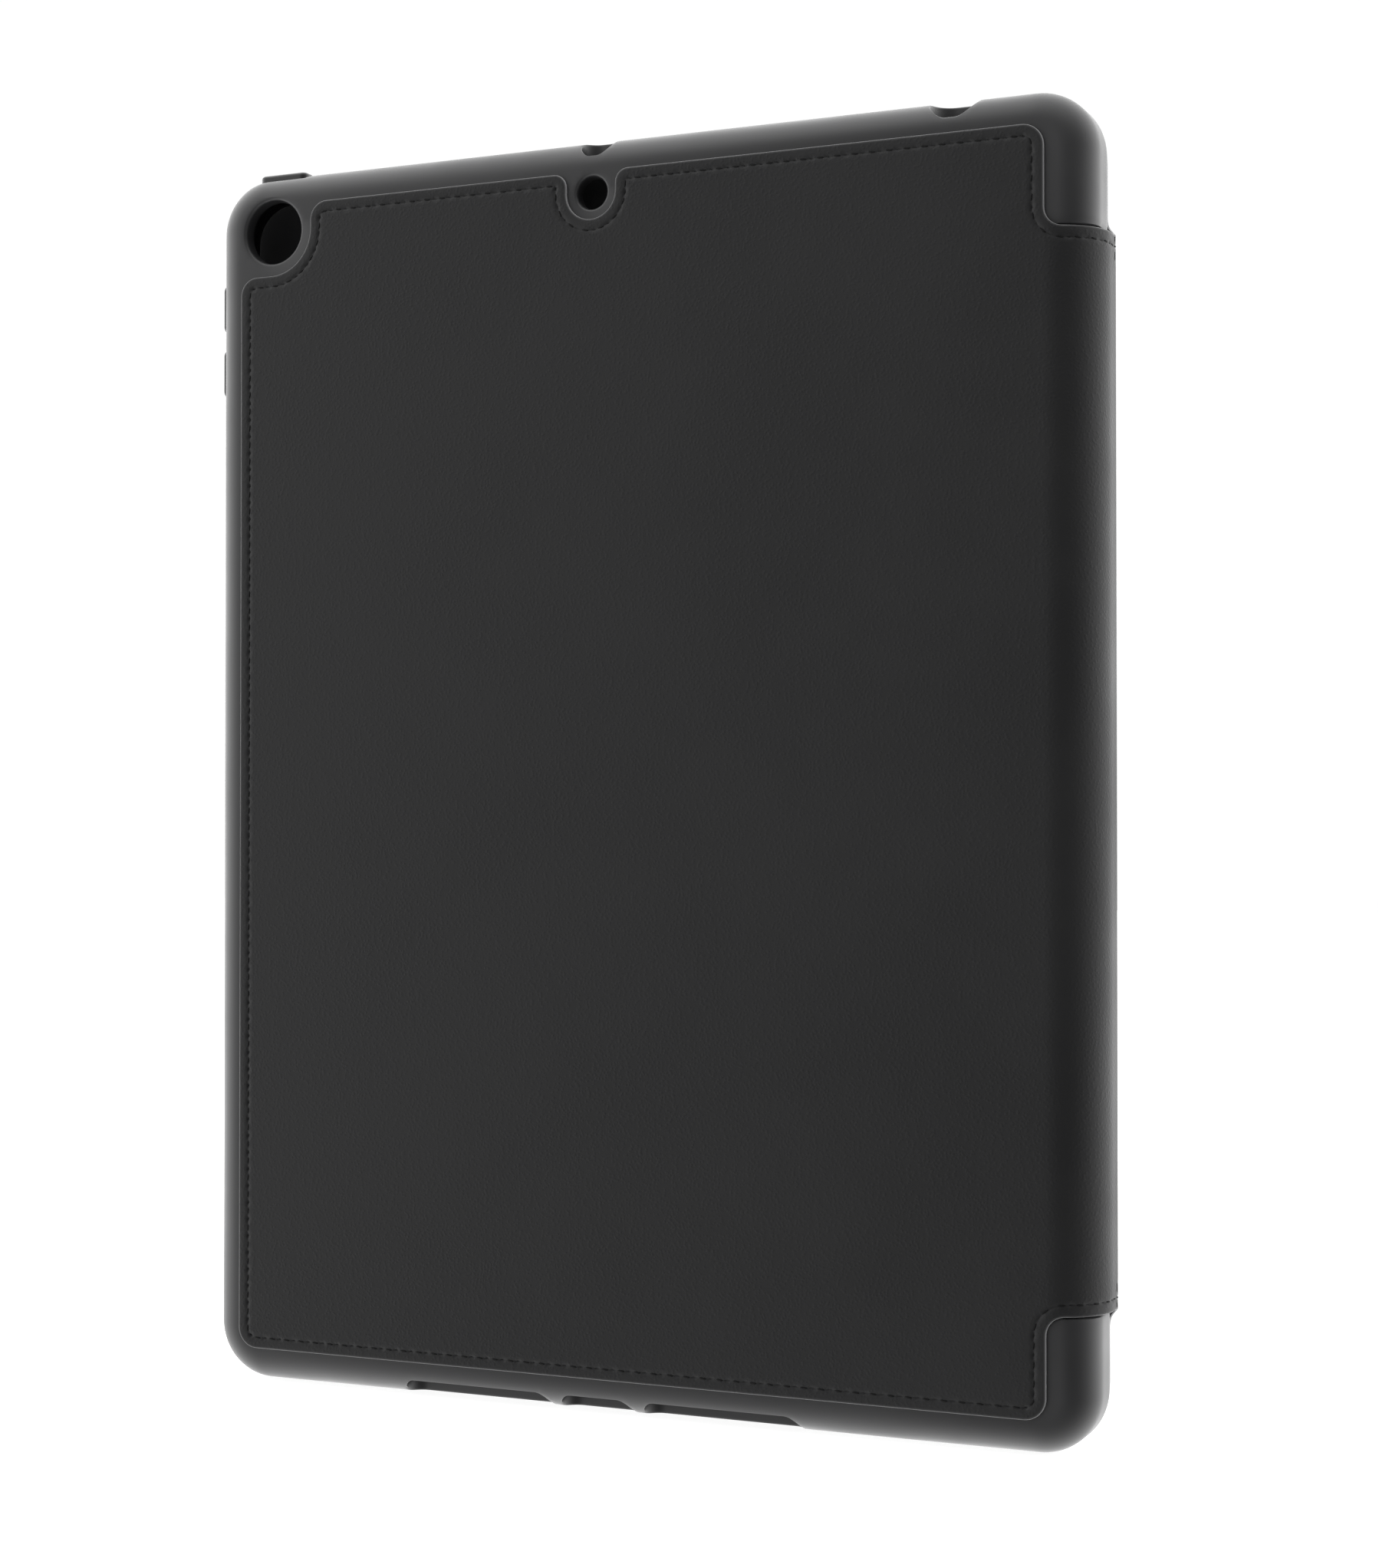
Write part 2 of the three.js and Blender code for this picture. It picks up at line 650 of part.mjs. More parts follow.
const coverPanels = [
  { name: 'inner_panel', left: fold1X + FOLD_HALF_WIDTH, right: creaseEdge },
  { name: 'middle_panel', left: fold2X + FOLD_HALF_WIDTH, right: fold1X - FOLD_HALF_WIDTH },
  { name: 'outer_panel', left: cover.left, right: fold2X - FOLD_HALF_WIDTH },
];

// A cover panel's outline. Only the cover's own corners are round, and on the spine side the
// panel stands out above and below the spine.
function coverOutline(piece) {
  const round = COVER_CORNER;
  const points = [];
  if (piece.name === 'inner_panel') {
    points.push(
      ...arcPoints(cover.right - round, cover.bottom + round, round, -90, 0),
      new THREE.Vector2(cover.right, tab.bottom - TAB_TO_COVER_GAP),
      new THREE.Vector2(creaseEdge, tab.bottom - TAB_TO_COVER_GAP),
      new THREE.Vector2(creaseEdge, tab.top + TAB_TO_COVER_GAP),
      new THREE.Vector2(cover.right, tab.top + TAB_TO_COVER_GAP),
      ...arcPoints(cover.right - round, cover.top - round, round, 0, 90),
    );
  } else {
    points.push(
      new THREE.Vector2(piece.right, cover.bottom),
      new THREE.Vector2(piece.right, cover.top),
    );
  }
  if (piece.name === 'outer_panel') {
    points.push(
      ...arcPoints(cover.left + round, cover.top - round, round, 90, 180),
      ...arcPoints(cover.left + round, cover.bottom + round, round, 180, 270),
    );
  } else {
    points.push(
      new THREE.Vector2(piece.left, cover.top),
      new THREE.Vector2(piece.left, cover.bottom),
    );
  }
  return new THREE.Shape(points);
}

// The board inside a panel keeps a wide rim at the stitched edges and a narrow one at the folds
function coverBoardOutline(piece, clearance) {
  const leftRim = piece.name === 'outer_panel' ? COVER_RIM : FOLD_RIM;
  return roundedRectangle(
    piece.left + leftRim - clearance,
    cover.bottom + COVER_RIM - clearance,
    piece.right - FOLD_RIM + clearance,
    cover.top - COVER_RIM + clearance,
    COVER_BOARD_CORNER,
  );
}

// The seam's course along the cover's edge: straight bands on the inner and middle panels, and
// one band round three sides of the outer panel
function coverSeamBands(piece, width) {
  const near = SEAM_INSET - width / 2;
  const far = SEAM_INSET + width / 2;
  const end = width === THREAD_WIDTH ? SEAM_END_GAP : -CUT_PAST;
  if (piece.name === 'outer_panel') {
    const right = piece.right - end;
    const turn = { left: cover.left + COVER_CORNER, low: cover.bottom + COVER_CORNER };
    const high = cover.top - COVER_CORNER;
    const edge = (inset) => [
      new THREE.Vector2(right, cover.top - inset),
      ...arcPoints(turn.left, high, COVER_CORNER - inset, 90, 180),
      ...arcPoints(turn.left, turn.low, COVER_CORNER - inset, 180, 270),
      new THREE.Vector2(right, cover.bottom + inset),
    ];
    return [{ name: 'edge', shape: new THREE.Shape([...edge(near), ...edge(far).reverse()]) }];
  }
  const left = piece.left + end;
  const right = piece.name === 'inner_panel' ? piece.right - COVER_CORNER : piece.right - end;
  const band = (low, high) => new THREE.Shape([
    new THREE.Vector2(left, low),
    new THREE.Vector2(right, low),
    new THREE.Vector2(right, high),
    new THREE.Vector2(left, high),
  ]);
  return [
    { name: 'lower', shape: band(cover.bottom + near, cover.bottom + far) },
    { name: 'upper', shape: band(cover.top - far, cover.top - near) },
  ];
}

// Magnets and the steel strip lie in windows cut through their panel's board
function insertsOf(piece) {
  const place = (name, left, middle, size, material) => ({
    name,
    material,
    left,
    right: left + size.width,
    bottom: middle - size.height / 2,
    top: middle + size.height / 2,
    thickness: size.thickness,
  });
  if (piece.name === 'inner_panel') {
    const left = piece.left + STEEL_STRIP.fromFold;
    return [place('stand_steel_strip', left, shell.height / 2, STEEL_STRIP, STEEL)];
  }
  if (piece.name === 'outer_panel') {
    const left = piece.left + MAGNET.fromEdge;
    const high = shell.height - MAGNET_FROM_END;
    return [
      place('lower_magnet', left, MAGNET_FROM_END, MAGNET, MAGNET_METAL),
      place('sleep_magnet', left, SLEEP_MAGNET_FROM_END, MAGNET, MAGNET_METAL),
      place('upper_magnet', left, high, MAGNET, MAGNET_METAL),
    ];
  }
  return [];
}

function coverPanelPieces(piece) {
  const outline = coverOutline(piece);
  const inserts = insertsOf(piece);
  const windows = inserts.map((insert) => box(
    insert.left - INSERT_CLEARANCE,
    cover.boardInner - CUT_PAST,
    insert.bottom - INSERT_CLEARANCE,
    insert.right + INSERT_CLEARANCE,
    cover.boardOuter + CUT_PAST,
    insert.top + INSERT_CLEARANCE,
  ));
  const lining = alongY(outline, cover.inner, cover.inner + COVER_LINING);
  const board = alongY(coverBoardOutline(piece, 0), cover.boardInner, cover.boardOuter);
  const pocket = alongY(
    coverBoardOutline(piece, BOARD_CLEARANCE),
    cover.inner,
    cover.boardOuter + GLUE,
  );
  const grooves = coverSeamBands(piece, SEAM_GROOVE_WIDTH).map(
    (band) => alongY(band.shape, cover.outer - SEAM_GROOVE_DEPTH, cover.outer + CUT_PAST),
  );
  const hide = alongY(outline, cover.inner + COVER_LINING + GLUE, cover.outer);
  const threads = coverSeamBands(piece, THREAD_WIDTH).map((band) => named(
    `${piece.name}_${band.name}_thread`,
    alongY(band.shape, cover.outer - THREAD_HEIGHT, cover.outer),
    THREAD,
  ));
  const middle = (cover.boardInner + cover.boardOuter) / 2;
  const metal = inserts.map((insert) => named(
    insert.name,
    box(
      insert.left,
      middle - insert.thickness / 2,
      insert.bottom,
      insert.right,
      middle + insert.thickness / 2,
      insert.top,
    ),
    insert.material,
  ));
  return [
    named(`${piece.name}_leather`, cutFrom(hide, [pocket, ...grooves]), HIDE),
    named(`${piece.name}_board`, cutFrom(board, windows), BOARD),
    named(`${piece.name}_lining`, lining, SUEDE),
    ...threads,
    ...metal,
  ];
}

// The leather and lining pressed together, without a board, where the cover folds
function foldWeb(name, x) {
  const web = box(
    x - WEB_HALF_WIDTH,
    foldAxisY - WEB_THICKNESS / 2,
    cover.bottom,
    x + WEB_HALF_WIDTH,
    foldAxisY + WEB_THICKNESS / 2,
    cover.top,
  );
  return named(name, web, HIDE);
}

// ---------------------------------------------------------------- the whole case

const tabletCase = new THREE.Group();
tabletCase.add(
  named('moulded_shell', mouldedShell(), MOULDED),
  ...backPieces(),
  ...backCreasePieces(),
  ...padPlaces.map(buttonPad),
  ...spinePieces(),
  ...coverPanels.flatMap(coverPanelPieces),
  foldWeb('inner_fold_web', fold1X),
  foldWeb('outer_fold_web', fold2X),
);
tabletCase.position.set(
  -(shell.left - PAD_PROUD + spineOuter) / 2,
  -(backLeather.outer + cover.outer) / 2,
  0,
);

const assembly = new THREE.Group();
assembly.add(tabletCase);

export default assembly;
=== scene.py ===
# %% [markdown]
# # A folio case for a tablet
# The case is a soft moulded shell with a stitched leather skin. The leather covers the back, turns
# round one side as a soft spine, and becomes a cover of three stiffened panels. It stands upright
# on its bottom edge with its back towards us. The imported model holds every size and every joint,
# so this script only gives it its surface: smooth rounds, lips, seams, stitches and finishes.

import json
import math
from types import SimpleNamespace

import bmesh
import bpy
import numpy as np
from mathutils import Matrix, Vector
from mathutils.geometry import delaunay_2d_cdt


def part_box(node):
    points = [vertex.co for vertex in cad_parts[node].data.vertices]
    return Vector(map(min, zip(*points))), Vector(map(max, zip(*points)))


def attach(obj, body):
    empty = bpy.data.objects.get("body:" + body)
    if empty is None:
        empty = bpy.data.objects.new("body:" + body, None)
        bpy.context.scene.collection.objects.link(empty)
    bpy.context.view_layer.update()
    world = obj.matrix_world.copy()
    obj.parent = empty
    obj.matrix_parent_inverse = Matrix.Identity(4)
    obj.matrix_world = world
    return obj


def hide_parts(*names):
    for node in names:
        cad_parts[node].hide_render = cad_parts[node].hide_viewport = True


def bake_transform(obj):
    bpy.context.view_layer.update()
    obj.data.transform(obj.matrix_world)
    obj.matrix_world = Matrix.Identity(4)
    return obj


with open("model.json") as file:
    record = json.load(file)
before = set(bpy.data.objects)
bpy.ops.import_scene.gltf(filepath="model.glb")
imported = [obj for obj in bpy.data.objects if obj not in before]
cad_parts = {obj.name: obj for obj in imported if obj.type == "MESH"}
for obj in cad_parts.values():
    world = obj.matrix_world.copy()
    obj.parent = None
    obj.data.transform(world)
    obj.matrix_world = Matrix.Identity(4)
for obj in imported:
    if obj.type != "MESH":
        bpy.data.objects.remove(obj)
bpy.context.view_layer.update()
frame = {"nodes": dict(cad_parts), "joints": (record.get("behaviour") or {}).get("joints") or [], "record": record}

# %% [markdown]
# Blender works in metres, but a case is easier to describe in millimetres. Every length below is
# in millimetres in the frame's own axes: X across, Y from the back to the cover, Z up. One helper
# turns the finished points into metres, and another reads a piece's box from the frame.

# %% Millimetres, and boxes read from the frame
MM = 0.001


def sides(low, high):
    """Names the six sides of a box, in millimetres."""
    (left, back, bottom), (right, front, top) = Vector(low) / MM, Vector(high) / MM
    return SimpleNamespace(
        left=left,
        right=right,
        back=back,
        front=front,
        bottom=bottom,
        top=top,
        x=(left + right) / 2,
        y=(back + front) / 2,
        z=(bottom + top) / 2,
    )


def node_box(node):
    return sides(*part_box(node))


openings = {
    opening["name"]: sides(*opening["box_m"])
    for opening in frame["record"]["physics"]["openings"]
}
joints = {joint["name"]: joint for joint in frame["joints"]}
shell = node_box("moulded_shell")
back = node_box("back_leather")
spine = node_box("spine_leather")
print(f"shell {shell.right - shell.left:.1f} x {shell.top:.1f} mm, openings: {len(openings)}")

# %% [markdown]
# Nearly every edge of this case is a straight run with round corners: the shell, the tablet bay,
# the leather and the holes. So one helper draws such an outline from its sharp corners and their
# radii, and can draw it again moved inwards. Each copy has the same number of points, which lets
# two copies be joined by a clean ring of faces. That is how every round edge here is made.

# %% Outlines with round corners
SMALLEST_ROUND = 0.35


class Outline:
    """Straight edges and round corners, clockwise. corners is a list of (across, up, radius)."""

    def __init__(self, corners, spacing, closed=True):
        self.corners = [np.array(corner[:2], float) for corner in corners]
        self.radii = [corner[2] for corner in corners]
        self.closed = closed
        lengths = [run["length"] for run in self.runs(0.0)]
        self.counts = [math.ceil(n / spacing) if n > 1e-6 else 0 for n in lengths]

    def runs(self, inset):
        """The straight runs and the turns of the outline moved inwards by inset."""
        total = len(self.corners)
        edges = total if self.closed else total - 1
        ahead = []
        for i in range(edges):
            step = self.corners[(i + 1) % total] - self.corners[i]
            ahead.append(step / np.linalg.norm(step))
        inward = [np.array((step[1], -step[0])) for step in ahead]
        turns = []
        for i, corner in enumerate(self.corners):
            if not self.closed and i in (0, total - 1):
                edge = 0 if i == 0 else -1
                point = corner + inward[edge] * inset
                turns.append({"from": point, "to": point, "length": 0})
                continue
            before, after = (i - 1) % edges, i % edges
            point = corner + (inward[before] + inward[after]) * inset
            cross = ahead[before][0] * ahead[after][1] - ahead[before][1] * ahead[after][0]
            outer_corner = cross < 0
            radius = self.radii[i] - inset if outer_corner else self.radii[i] + inset
            radius = max(radius, min(self.radii[i], SMALLEST_ROUND))
            start = point - ahead[before] * radius
            centre = start + inward[before] * (radius if outer_corner else -radius)
            turns.append(
                {
                    "from": start,
                    "to": point + ahead[after] * radius,
                    "centre": centre,
                    "radius": radius,
                    "sweep": -math.pi / 2 if outer_corner else math.pi / 2,
                    "length": radius * math.pi / 2,
                }
            )
        found = []
        for i in range(total):
            found.append(turns[i])
            if i < edges:
                start, end = turns[i]["to"], turns[(i + 1) % total]["from"]
                length = float(np.linalg.norm(end - start))
                found.append({"from": start, "to": end, "length": length, "straight": True})
        return found

    def points(self, inset=0.0):
        """The outline's points as an array of (across, up)."""
        found = []
        for run, count in zip(self.runs(inset), self.counts):
            for i in range(count):
                share = i / count
                if run.get("straight"):
                    found.append(run["from"] + (run["to"] - run["from"]) * share)
                else:
                    spoke = run["from"] - run["centre"]
                    angle = math.atan2(spoke[1], spoke[0]) + run["sweep"] * share
                    arm = np.array((math.cos(angle), math.sin(angle)))
                    found.append(run["centre"] + run["radius"] * arm)
        if not self.closed:
            found.append(self.runs(inset)[-1]["to"])
        return np.array(found)


def rectangle(left, right, bottom, top, radius, spacing):
    corners = [(left, top), (right, top), (right, bottom), (left, bottom)]
    return Outline([(*corner, radius) for corner in corners], spacing)


# %% [markdown]
# A surface is then built from rings of points. `bridge` joins two rings with four-sided faces, and
# `fill` covers what is left inside the last ring, round any holes, with triangles. Triangles are
# used because they fill any outline, and the fine shape is in the rings, where it can be seen.

# %% Surfaces built from rings
SHARP_DEGREES = 40
WELD = 0.002


def inside(points, ring):
    """Which points lie inside a closed ring, both as arrays of (across, up)."""
    found = np.zeros(len(points), bool)
    ahead = np.roll(ring, -1, axis=0)
    for (x0, y0), (x1, y1) in zip(ring, ahead):
        if y0 == y1:
            continue
        spans = (points[:, 1] < y0) != (points[:, 1] < y1)
        crossing = x0 + (points[:, 1] - y0) * (x1 - x0) / (y1 - y0)
        found ^= spans & (points[:, 0] < crossing)
    return found


def patches(triangles, walls):
    """Groups triangles that meet across an edge that is not a wall, as lists of numbers."""
    across = {}
    for t, triangle in enumerate(triangles):
        for i in range(3):
            edge = frozenset((triangle[i], triangle[i - 1]))
            if edge not in walls:
                across.setdefault(edge, []).append(t)
    beside = [[] for _ in triangles]
    for pair in across.values():
        if len(pair) == 2:
            beside[pair[0]].append(pair[1])
            beside[pair[1]].append(pair[0])
    found, seen = [], [False] * len(triangles)
    for t in range(len(triangles)):
        if seen[t]:
            continue
        seen[t], patch = True, [t]
        for member in patch:
            for other in beside[member]:
                if not seen[other]:
                    seen[other] = True
                    patch.append(other)
        found.append(patch)
    return found


class Surface:
    """Points in millimetres and the faces between them."""

    def __init__(self):
        self.points = []
        self.highlight_shares = []
        self.faces = []

    def ring(self, points, highlight_share=0.0):
        """Adds points. The mark is kept on them as a point attribute, which the leather's material paints as a
        highlight on its cut edge.
        """
        start = len(self.points)
        self.points += [tuple(point) for point in points]
        self.highlight_shares += [highlight_share] * (len(self.points) - start)
        return list(range(start, len(self.points)))

    def bridge(self, first, second, closed=True):
        count = len(first)
        for i in range(count if closed else count - 1):
            j = (i + 1) % count
            self.faces.append((first[i], first[j], second[j], second[i]))

    def sweep(self, rings, closed=True):
        """Joins a series of rings of solid points, and returns their index lists."""
        rows = [self.ring(points) for points in rings]
        for first, second in zip(rows, rows[1:]):
            self.bridge(first, second, closed)
        return rows

    def fill(self, loops, extra=(), extra_solid=()):
        """Covers the first loop, outside the others. A loop is (indices, flat points)."""
        flat, index, edges = [], [], []
        for ring, coordinates in loops:
            start, count = len(flat), len(ring)
            flat += [Vector(point) for point in np.round(coordinates, 4)]
            index += ring
            edges += [(start + i, start + (i + 1) % count) for i in range(count)]
        if len(extra):
            index += self.ring(extra_solid)
            flat += [Vector(point) for point in extra]
        corners, _, triangles, origin, _, _ = delaunay_2d_cdt(flat, edges, [], 0, 1e-6)
        places = np.array([tuple(corner) for corner in corners])[np.array(triangles)]
        middles = places.mean(axis=1)
        wanted = inside(middles, np.array(loops[0][1]))
        for _, coordinates in loops[1:]:
            wanted &= ~inside(middles, np.array(coordinates))
        first, second = places[:, 1] - places[:, 0], places[:, 2] - places[:, 0]
        areas = np.abs(first[:, 0] * second[:, 1] - first[:, 1] * second[:, 0])
        triangles = [[origin[corner][0] for corner in triangle] for triangle in triangles]
        for patch in patches(triangles, {frozenset(edge) for edge in edges}):
            if (areas[patch] * wanted[patch]).sum() > areas[patch].sum() / 2:
                self.faces += [tuple(index[corner] for corner in triangles[t]) for t in patch]

    def build(self, name, material, weld=WELD):
        """Makes the Blender object, with its faces turned outwards and its soft edges smooth."""
        mesh = bpy.data.meshes.new(name)
        mesh.from_pydata([tuple(c * MM for c in point) for point in self.points], [], self.faces)
        # The marks are a painted highlight for the leather's cut edge, kept as a point attribute.
        if any(self.highlight_shares):
            mesh.attributes.new("painted_edge_highlight", "FLOAT", "POINT").data.foreach_set("value", self.highlight_shares)
        shape = bmesh.new()
        shape.from_mesh(mesh)
        bmesh.ops.remove_doubles(shape, verts=shape.verts, dist=weld * MM)
        bmesh.ops.dissolve_degenerate(shape, edges=shape.edges, dist=weld * MM / 10)
        loose = [vertex for vertex in shape.verts if not vertex.link_faces]
        bmesh.ops.delete(shape, geom=loose, context="VERTS")
        bmesh.ops.recalc_face_normals(shape, faces=shape.faces)
        for face in shape.faces:
            face.smooth = True
        open_edges = sum(1 for edge in shape.edges if len(edge.link_faces) != 2)
        for edge in shape.edges:
            if len(edge.link_faces) == 2:
                edge.smooth = edge.calc_face_angle(0) < math.radians(SHARP_DEGREES)
        volume = shape.calc_volume(signed=True) / MM**3
        if volume < 0:
            bmesh.ops.reverse_faces(shape, faces=shape.faces)
            volume = -volume
        shape.to_mesh(mesh)
        shape.free()
        thing = bpy.data.objects.new(name, mesh)
        bpy.context.scene.collection.objects.link(thing)
        mesh.materials.append(material)
        print(f"{name}: {len(mesh.vertices)} points, {volume:.0f} mm3, {open_edges} open edges")
        return thing

# %% [markdown]
# ## Finishes
# All the finishes are dark, so they are told apart by how they shine and by their fine relief. Two
# effects are shared. `fine relief` mixes a coarse and a fine noise into one height, for leather
# grain as well as for the faint orange peel of a moulding. `handled colour` varies a colour a
# little from place to place, as dust and fingers do. Each is a node group, so that a material
# only gives it other values.

# %% Node groups that several finishes share


def node_group(name, inputs, outputs):
    group = bpy.data.node_groups.new(name, "ShaderNodeTree")
    for label, kind, value in inputs:
        socket = group.interface.new_socket(name=label, in_out="INPUT", socket_type=kind)
        socket.default_value = value
    for label, kind in outputs:
        group.interface.new_socket(name=label, in_out="OUTPUT", socket_type=kind)
    start = group.nodes.new("NodeGroupInput")
    end = group.nodes.new("NodeGroupOutput")
    return group, start, end


def add(tree, kind, **values):
    """Adds a node and sets its properties, and its unlinked inputs by name."""
    node = tree.nodes.new(kind)
    for key, value in values.items():
        label = key.replace("_", " ")
        if label in node.inputs:
            node.inputs[label].default_value = value
        else:
            setattr(node, key, value)
    return node


def make_relief_group():
    group, start, end = node_group(
        "fine relief",
        [
            ("Cell Scale", "NodeSocketFloat", 1500.0),
            ("Fine Scale", "NodeSocketFloat", 4000.0),
            ("Fine Share", "NodeSocketFloat", 0.3),
        ],
        [("Height", "NodeSocketFloat"), ("Crevice", "NodeSocketFloat")],
    )
    place = add(group, "ShaderNodeTexCoord")
    bend = add(group, "ShaderNodeTexNoise", Scale=180.0, Detail=1.0)
    shift = add(group, "ShaderNodeMixRGB", blend_type="LINEAR_LIGHT")
    shift.inputs["Fac"].default_value = 0.0006
    cells = add(group, "ShaderNodeTexVoronoi", feature="SMOOTH_F1", Smoothness=0.6)
    ramp = add(group, "ShaderNodeMapRange", interpolation_type="SMOOTHSTEP")
    ramp.inputs["From Min"].default_value = 0.05
    ramp.inputs["From Max"].default_value = 0.6
    ramp.inputs["To Min"].default_value = 1.0
    ramp.inputs["To Max"].default_value = 0.0
    fine = add(group, "ShaderNodeTexNoise", Detail=3.0, Roughness=0.6)
    mix = add(group, "ShaderNodeMix", data_type="FLOAT")
    link = group.links.new
    link(place.outputs["Object"], bend.inputs["Vector"])
    link(place.outputs["Object"], shift.inputs["Color1"])
    link(bend.outputs["Color"], shift.inputs["Color2"])
    link(shift.outputs["Color"], cells.inputs["Vector"])
    link(start.outputs["Cell Scale"], cells.inputs["Scale"])
    link(cells.outputs["Distance"], ramp.inputs["Value"])
    link(place.outputs["Object"], fine.inputs["Vector"])
    link(start.outputs["Fine Scale"], fine.inputs["Scale"])
    link(start.outputs["Fine Share"], mix.inputs["Factor"])
    link(ramp.outputs["Result"], mix.inputs["A"])
    link(fine.outputs["Fac"], mix.inputs["B"])
    link(mix.outputs["Result"], end.inputs["Height"])
    link(ramp.outputs["Result"], end.inputs["Crevice"])
    return group


def make_handled_group():
    group, start, end = node_group(
        "handled colour",
        [
            ("Colour", "NodeSocketColor", (0.03, 0.03, 0.03, 1)),
            ("Worn Colour", "NodeSocketColor", (0.05, 0.05, 0.05, 1)),
            ("Roughness", "NodeSocketFloat", 0.5),
            ("Roughness Change", "NodeSocketFloat", 0.08),
            ("Amount", "NodeSocketFloat", 0.5),
            ("Scale", "NodeSocketFloat", 25.0),
        ],
        [("Colour", "NodeSocketColor"), ("Roughness", "NodeSocketFloat")],
    )
    place = add(group, "ShaderNodeTexCoord")
    cloud = add(group, "ShaderNodeTexNoise", Detail=4.0, Roughness=0.6)
    spread = add(group, "ShaderNodeMapRange", interpolation_type="SMOOTHSTEP")
    spread.inputs["From Min"].default_value = 0.35
    spread.inputs["From Max"].default_value = 0.75
    share = add(group, "ShaderNodeMath", operation="MULTIPLY")
    mix = add(group, "ShaderNodeMix", data_type="RGBA")
    change = add(group, "ShaderNodeMath", operation="MULTIPLY_ADD")
    link = group.links.new
    link(place.outputs["Object"], cloud.inputs["Vector"])
    link(start.outputs["Scale"], cloud.inputs["Scale"])
    link(cloud.outputs["Fac"], spread.inputs["Value"])
    link(spread.outputs["Result"], share.inputs[0])
    link(start.outputs["Amount"], share.inputs[1])
    link(share.outputs["Value"], mix.inputs["Factor"])
    link(start.outputs["Colour"], mix.inputs["A"])
    link(start.outputs["Worn Colour"], mix.inputs["B"])
    link(spread.outputs["Result"], change.inputs[0])
    link(start.outputs["Roughness Change"], change.inputs[1])
    link(start.outputs["Roughness"], change.inputs[2])
    link(mix.outputs["Result"], end.inputs["Colour"])
    link(change.outputs["Value"], end.inputs["Roughness"])
    return group


relief_group = make_relief_group()
handled_group = make_handled_group()
print("node groups:", relief_group.name, "and", handled_group.name)

# %% [markdown]
# Each material is one Principled shader fed by those groups. The leather's rounded cut edge has a
# painted highlight: the leather pieces carry a point attribute that says how near a point is to
# the cut, and the material paints a light grey there, where that edge would catch the light.

# %% Materials


def new_material(name, colour, worn, roughness, change, amount, scale, **shader_values):
    material = bpy.data.materials.new(name)
    material.use_nodes = True
    tree = material.node_tree
    tree.nodes.clear()
    out = tree.nodes.new("ShaderNodeOutputMaterial")
    shader = add(tree, "ShaderNodeBsdfPrincipled", **shader_values)
    handled = add(tree, "ShaderNodeGroup", node_tree=handled_group)
    handled.inputs["Colour"].default_value = (*colour, 1)
    handled.inputs["Worn Colour"].default_value = (*worn, 1)
    handled.inputs["Roughness"].default_value = roughness
    handled.inputs["Roughness Change"].default_value = change
    handled.inputs["Amount"].default_value = amount
    handled.inputs["Scale"].default_value = scale
    tree.links.new(handled.outputs["Roughness"], shader.inputs["Roughness"])
    tree.links.new(shader.outputs["BSDF"], out.inputs["Surface"])
    return material, tree, shader, handled


def add_relief(tree, shader, cell_scale, fine_scale, fine_share, depth_mm, strength=1.0):
    relief = add(tree, "ShaderNodeGroup", node_tree=relief_group)
    relief.inputs["Cell Scale"].default_value = cell_scale
    relief.inputs["Fine Scale"].default_value = fine_scale
    relief.inputs["Fine Share"].default_value = fine_share
    bump = add(tree, "ShaderNodeBump", Strength=strength, Distance=depth_mm * MM)
    tree.links.new(relief.outputs["Height"], bump.inputs["Height"])
    tree.links.new(bump.outputs["Normal"], shader.inputs["Normal"])
    return relief


def plain_finish(name, relief, **values):
    """A finish of one colour all over. relief holds the last values of add_relief."""
    material, tree, shader, handled = new_material(name, **values)
    tree.links.new(handled.outputs["Colour"], shader.inputs["Base Color"])
    add_relief(tree, shader, *relief)
    return material


def leather_finish():
    material, tree, shader, handled = new_material(
        "grained_leather",
        colour=(0.01, 0.01, 0.0105),
        worn=(0.0155, 0.0155, 0.016),
        roughness=0.5,
        change=0.1,
        amount=0.5,
        scale=22,
        IOR=1.45,
        Specular_IOR_Level=0.32,
    )
    # Painted highlight: the colour is mixed towards light grey along the cut edge, where the attribute is high.
    highlight_node = add(tree, "ShaderNodeAttribute", attribute_name="painted_edge_highlight")
    mix = add(tree, "ShaderNodeMix", data_type="RGBA")
    mix.inputs["B"].default_value = (0.32, 0.32, 0.325, 1)
    tree.links.new(highlight_node.outputs["Fac"], mix.inputs["Factor"])
    tree.links.new(handled.outputs["Colour"], mix.inputs["A"])
    tree.links.new(mix.outputs["Result"], shader.inputs["Base Color"])
    add_relief(tree, shader, 1500, 5200, 0.3, 0.045, 0.8)
    return material


METAL_WORN = 0.8


def metal_finish(name, colour, roughness):
    return plain_finish(
        name,
        relief=(3000, 9000, 0.9, 0.004),
        colour=colour,
        worn=tuple(part * METAL_WORN for part in colour),
        roughness=roughness,
        change=0.15,
        amount=0.6,
        scale=200,
        Metallic=1.0,
    )


moulded = plain_finish(
    "moulded_elastomer",
    relief=(2600, 6000, 0.6, 0.012, 0.5),
    colour=(0.017, 0.017, 0.018),
    worn=(0.024, 0.024, 0.025),
    roughness=0.4,
    change=0.1,
    amount=0.5,
    scale=30,
    IOR=1.5,
)
leather = leather_finish()
lining = plain_finish(
    "brushed_lining",
    relief=(3000, 9000, 0.8, 0.03),
    colour=(0.045, 0.045, 0.047),
    worn=(0.06, 0.06, 0.063),
    roughness=0.95,
    change=0.04,
    amount=0.8,
    scale=60,
    Sheen_Weight=0.2,
    Sheen_Roughness=0.5,
)
thread = plain_finish(
    "sewing_thread",
    relief=(6000, 12000, 0.5, 0.02),
    colour=(0.003, 0.003, 0.003),
    worn=(0.006, 0.006, 0.006),
    roughness=0.7,
    change=0.1,
    amount=0.5,
    scale=900,
    Specular_IOR_Level=0.15,
)
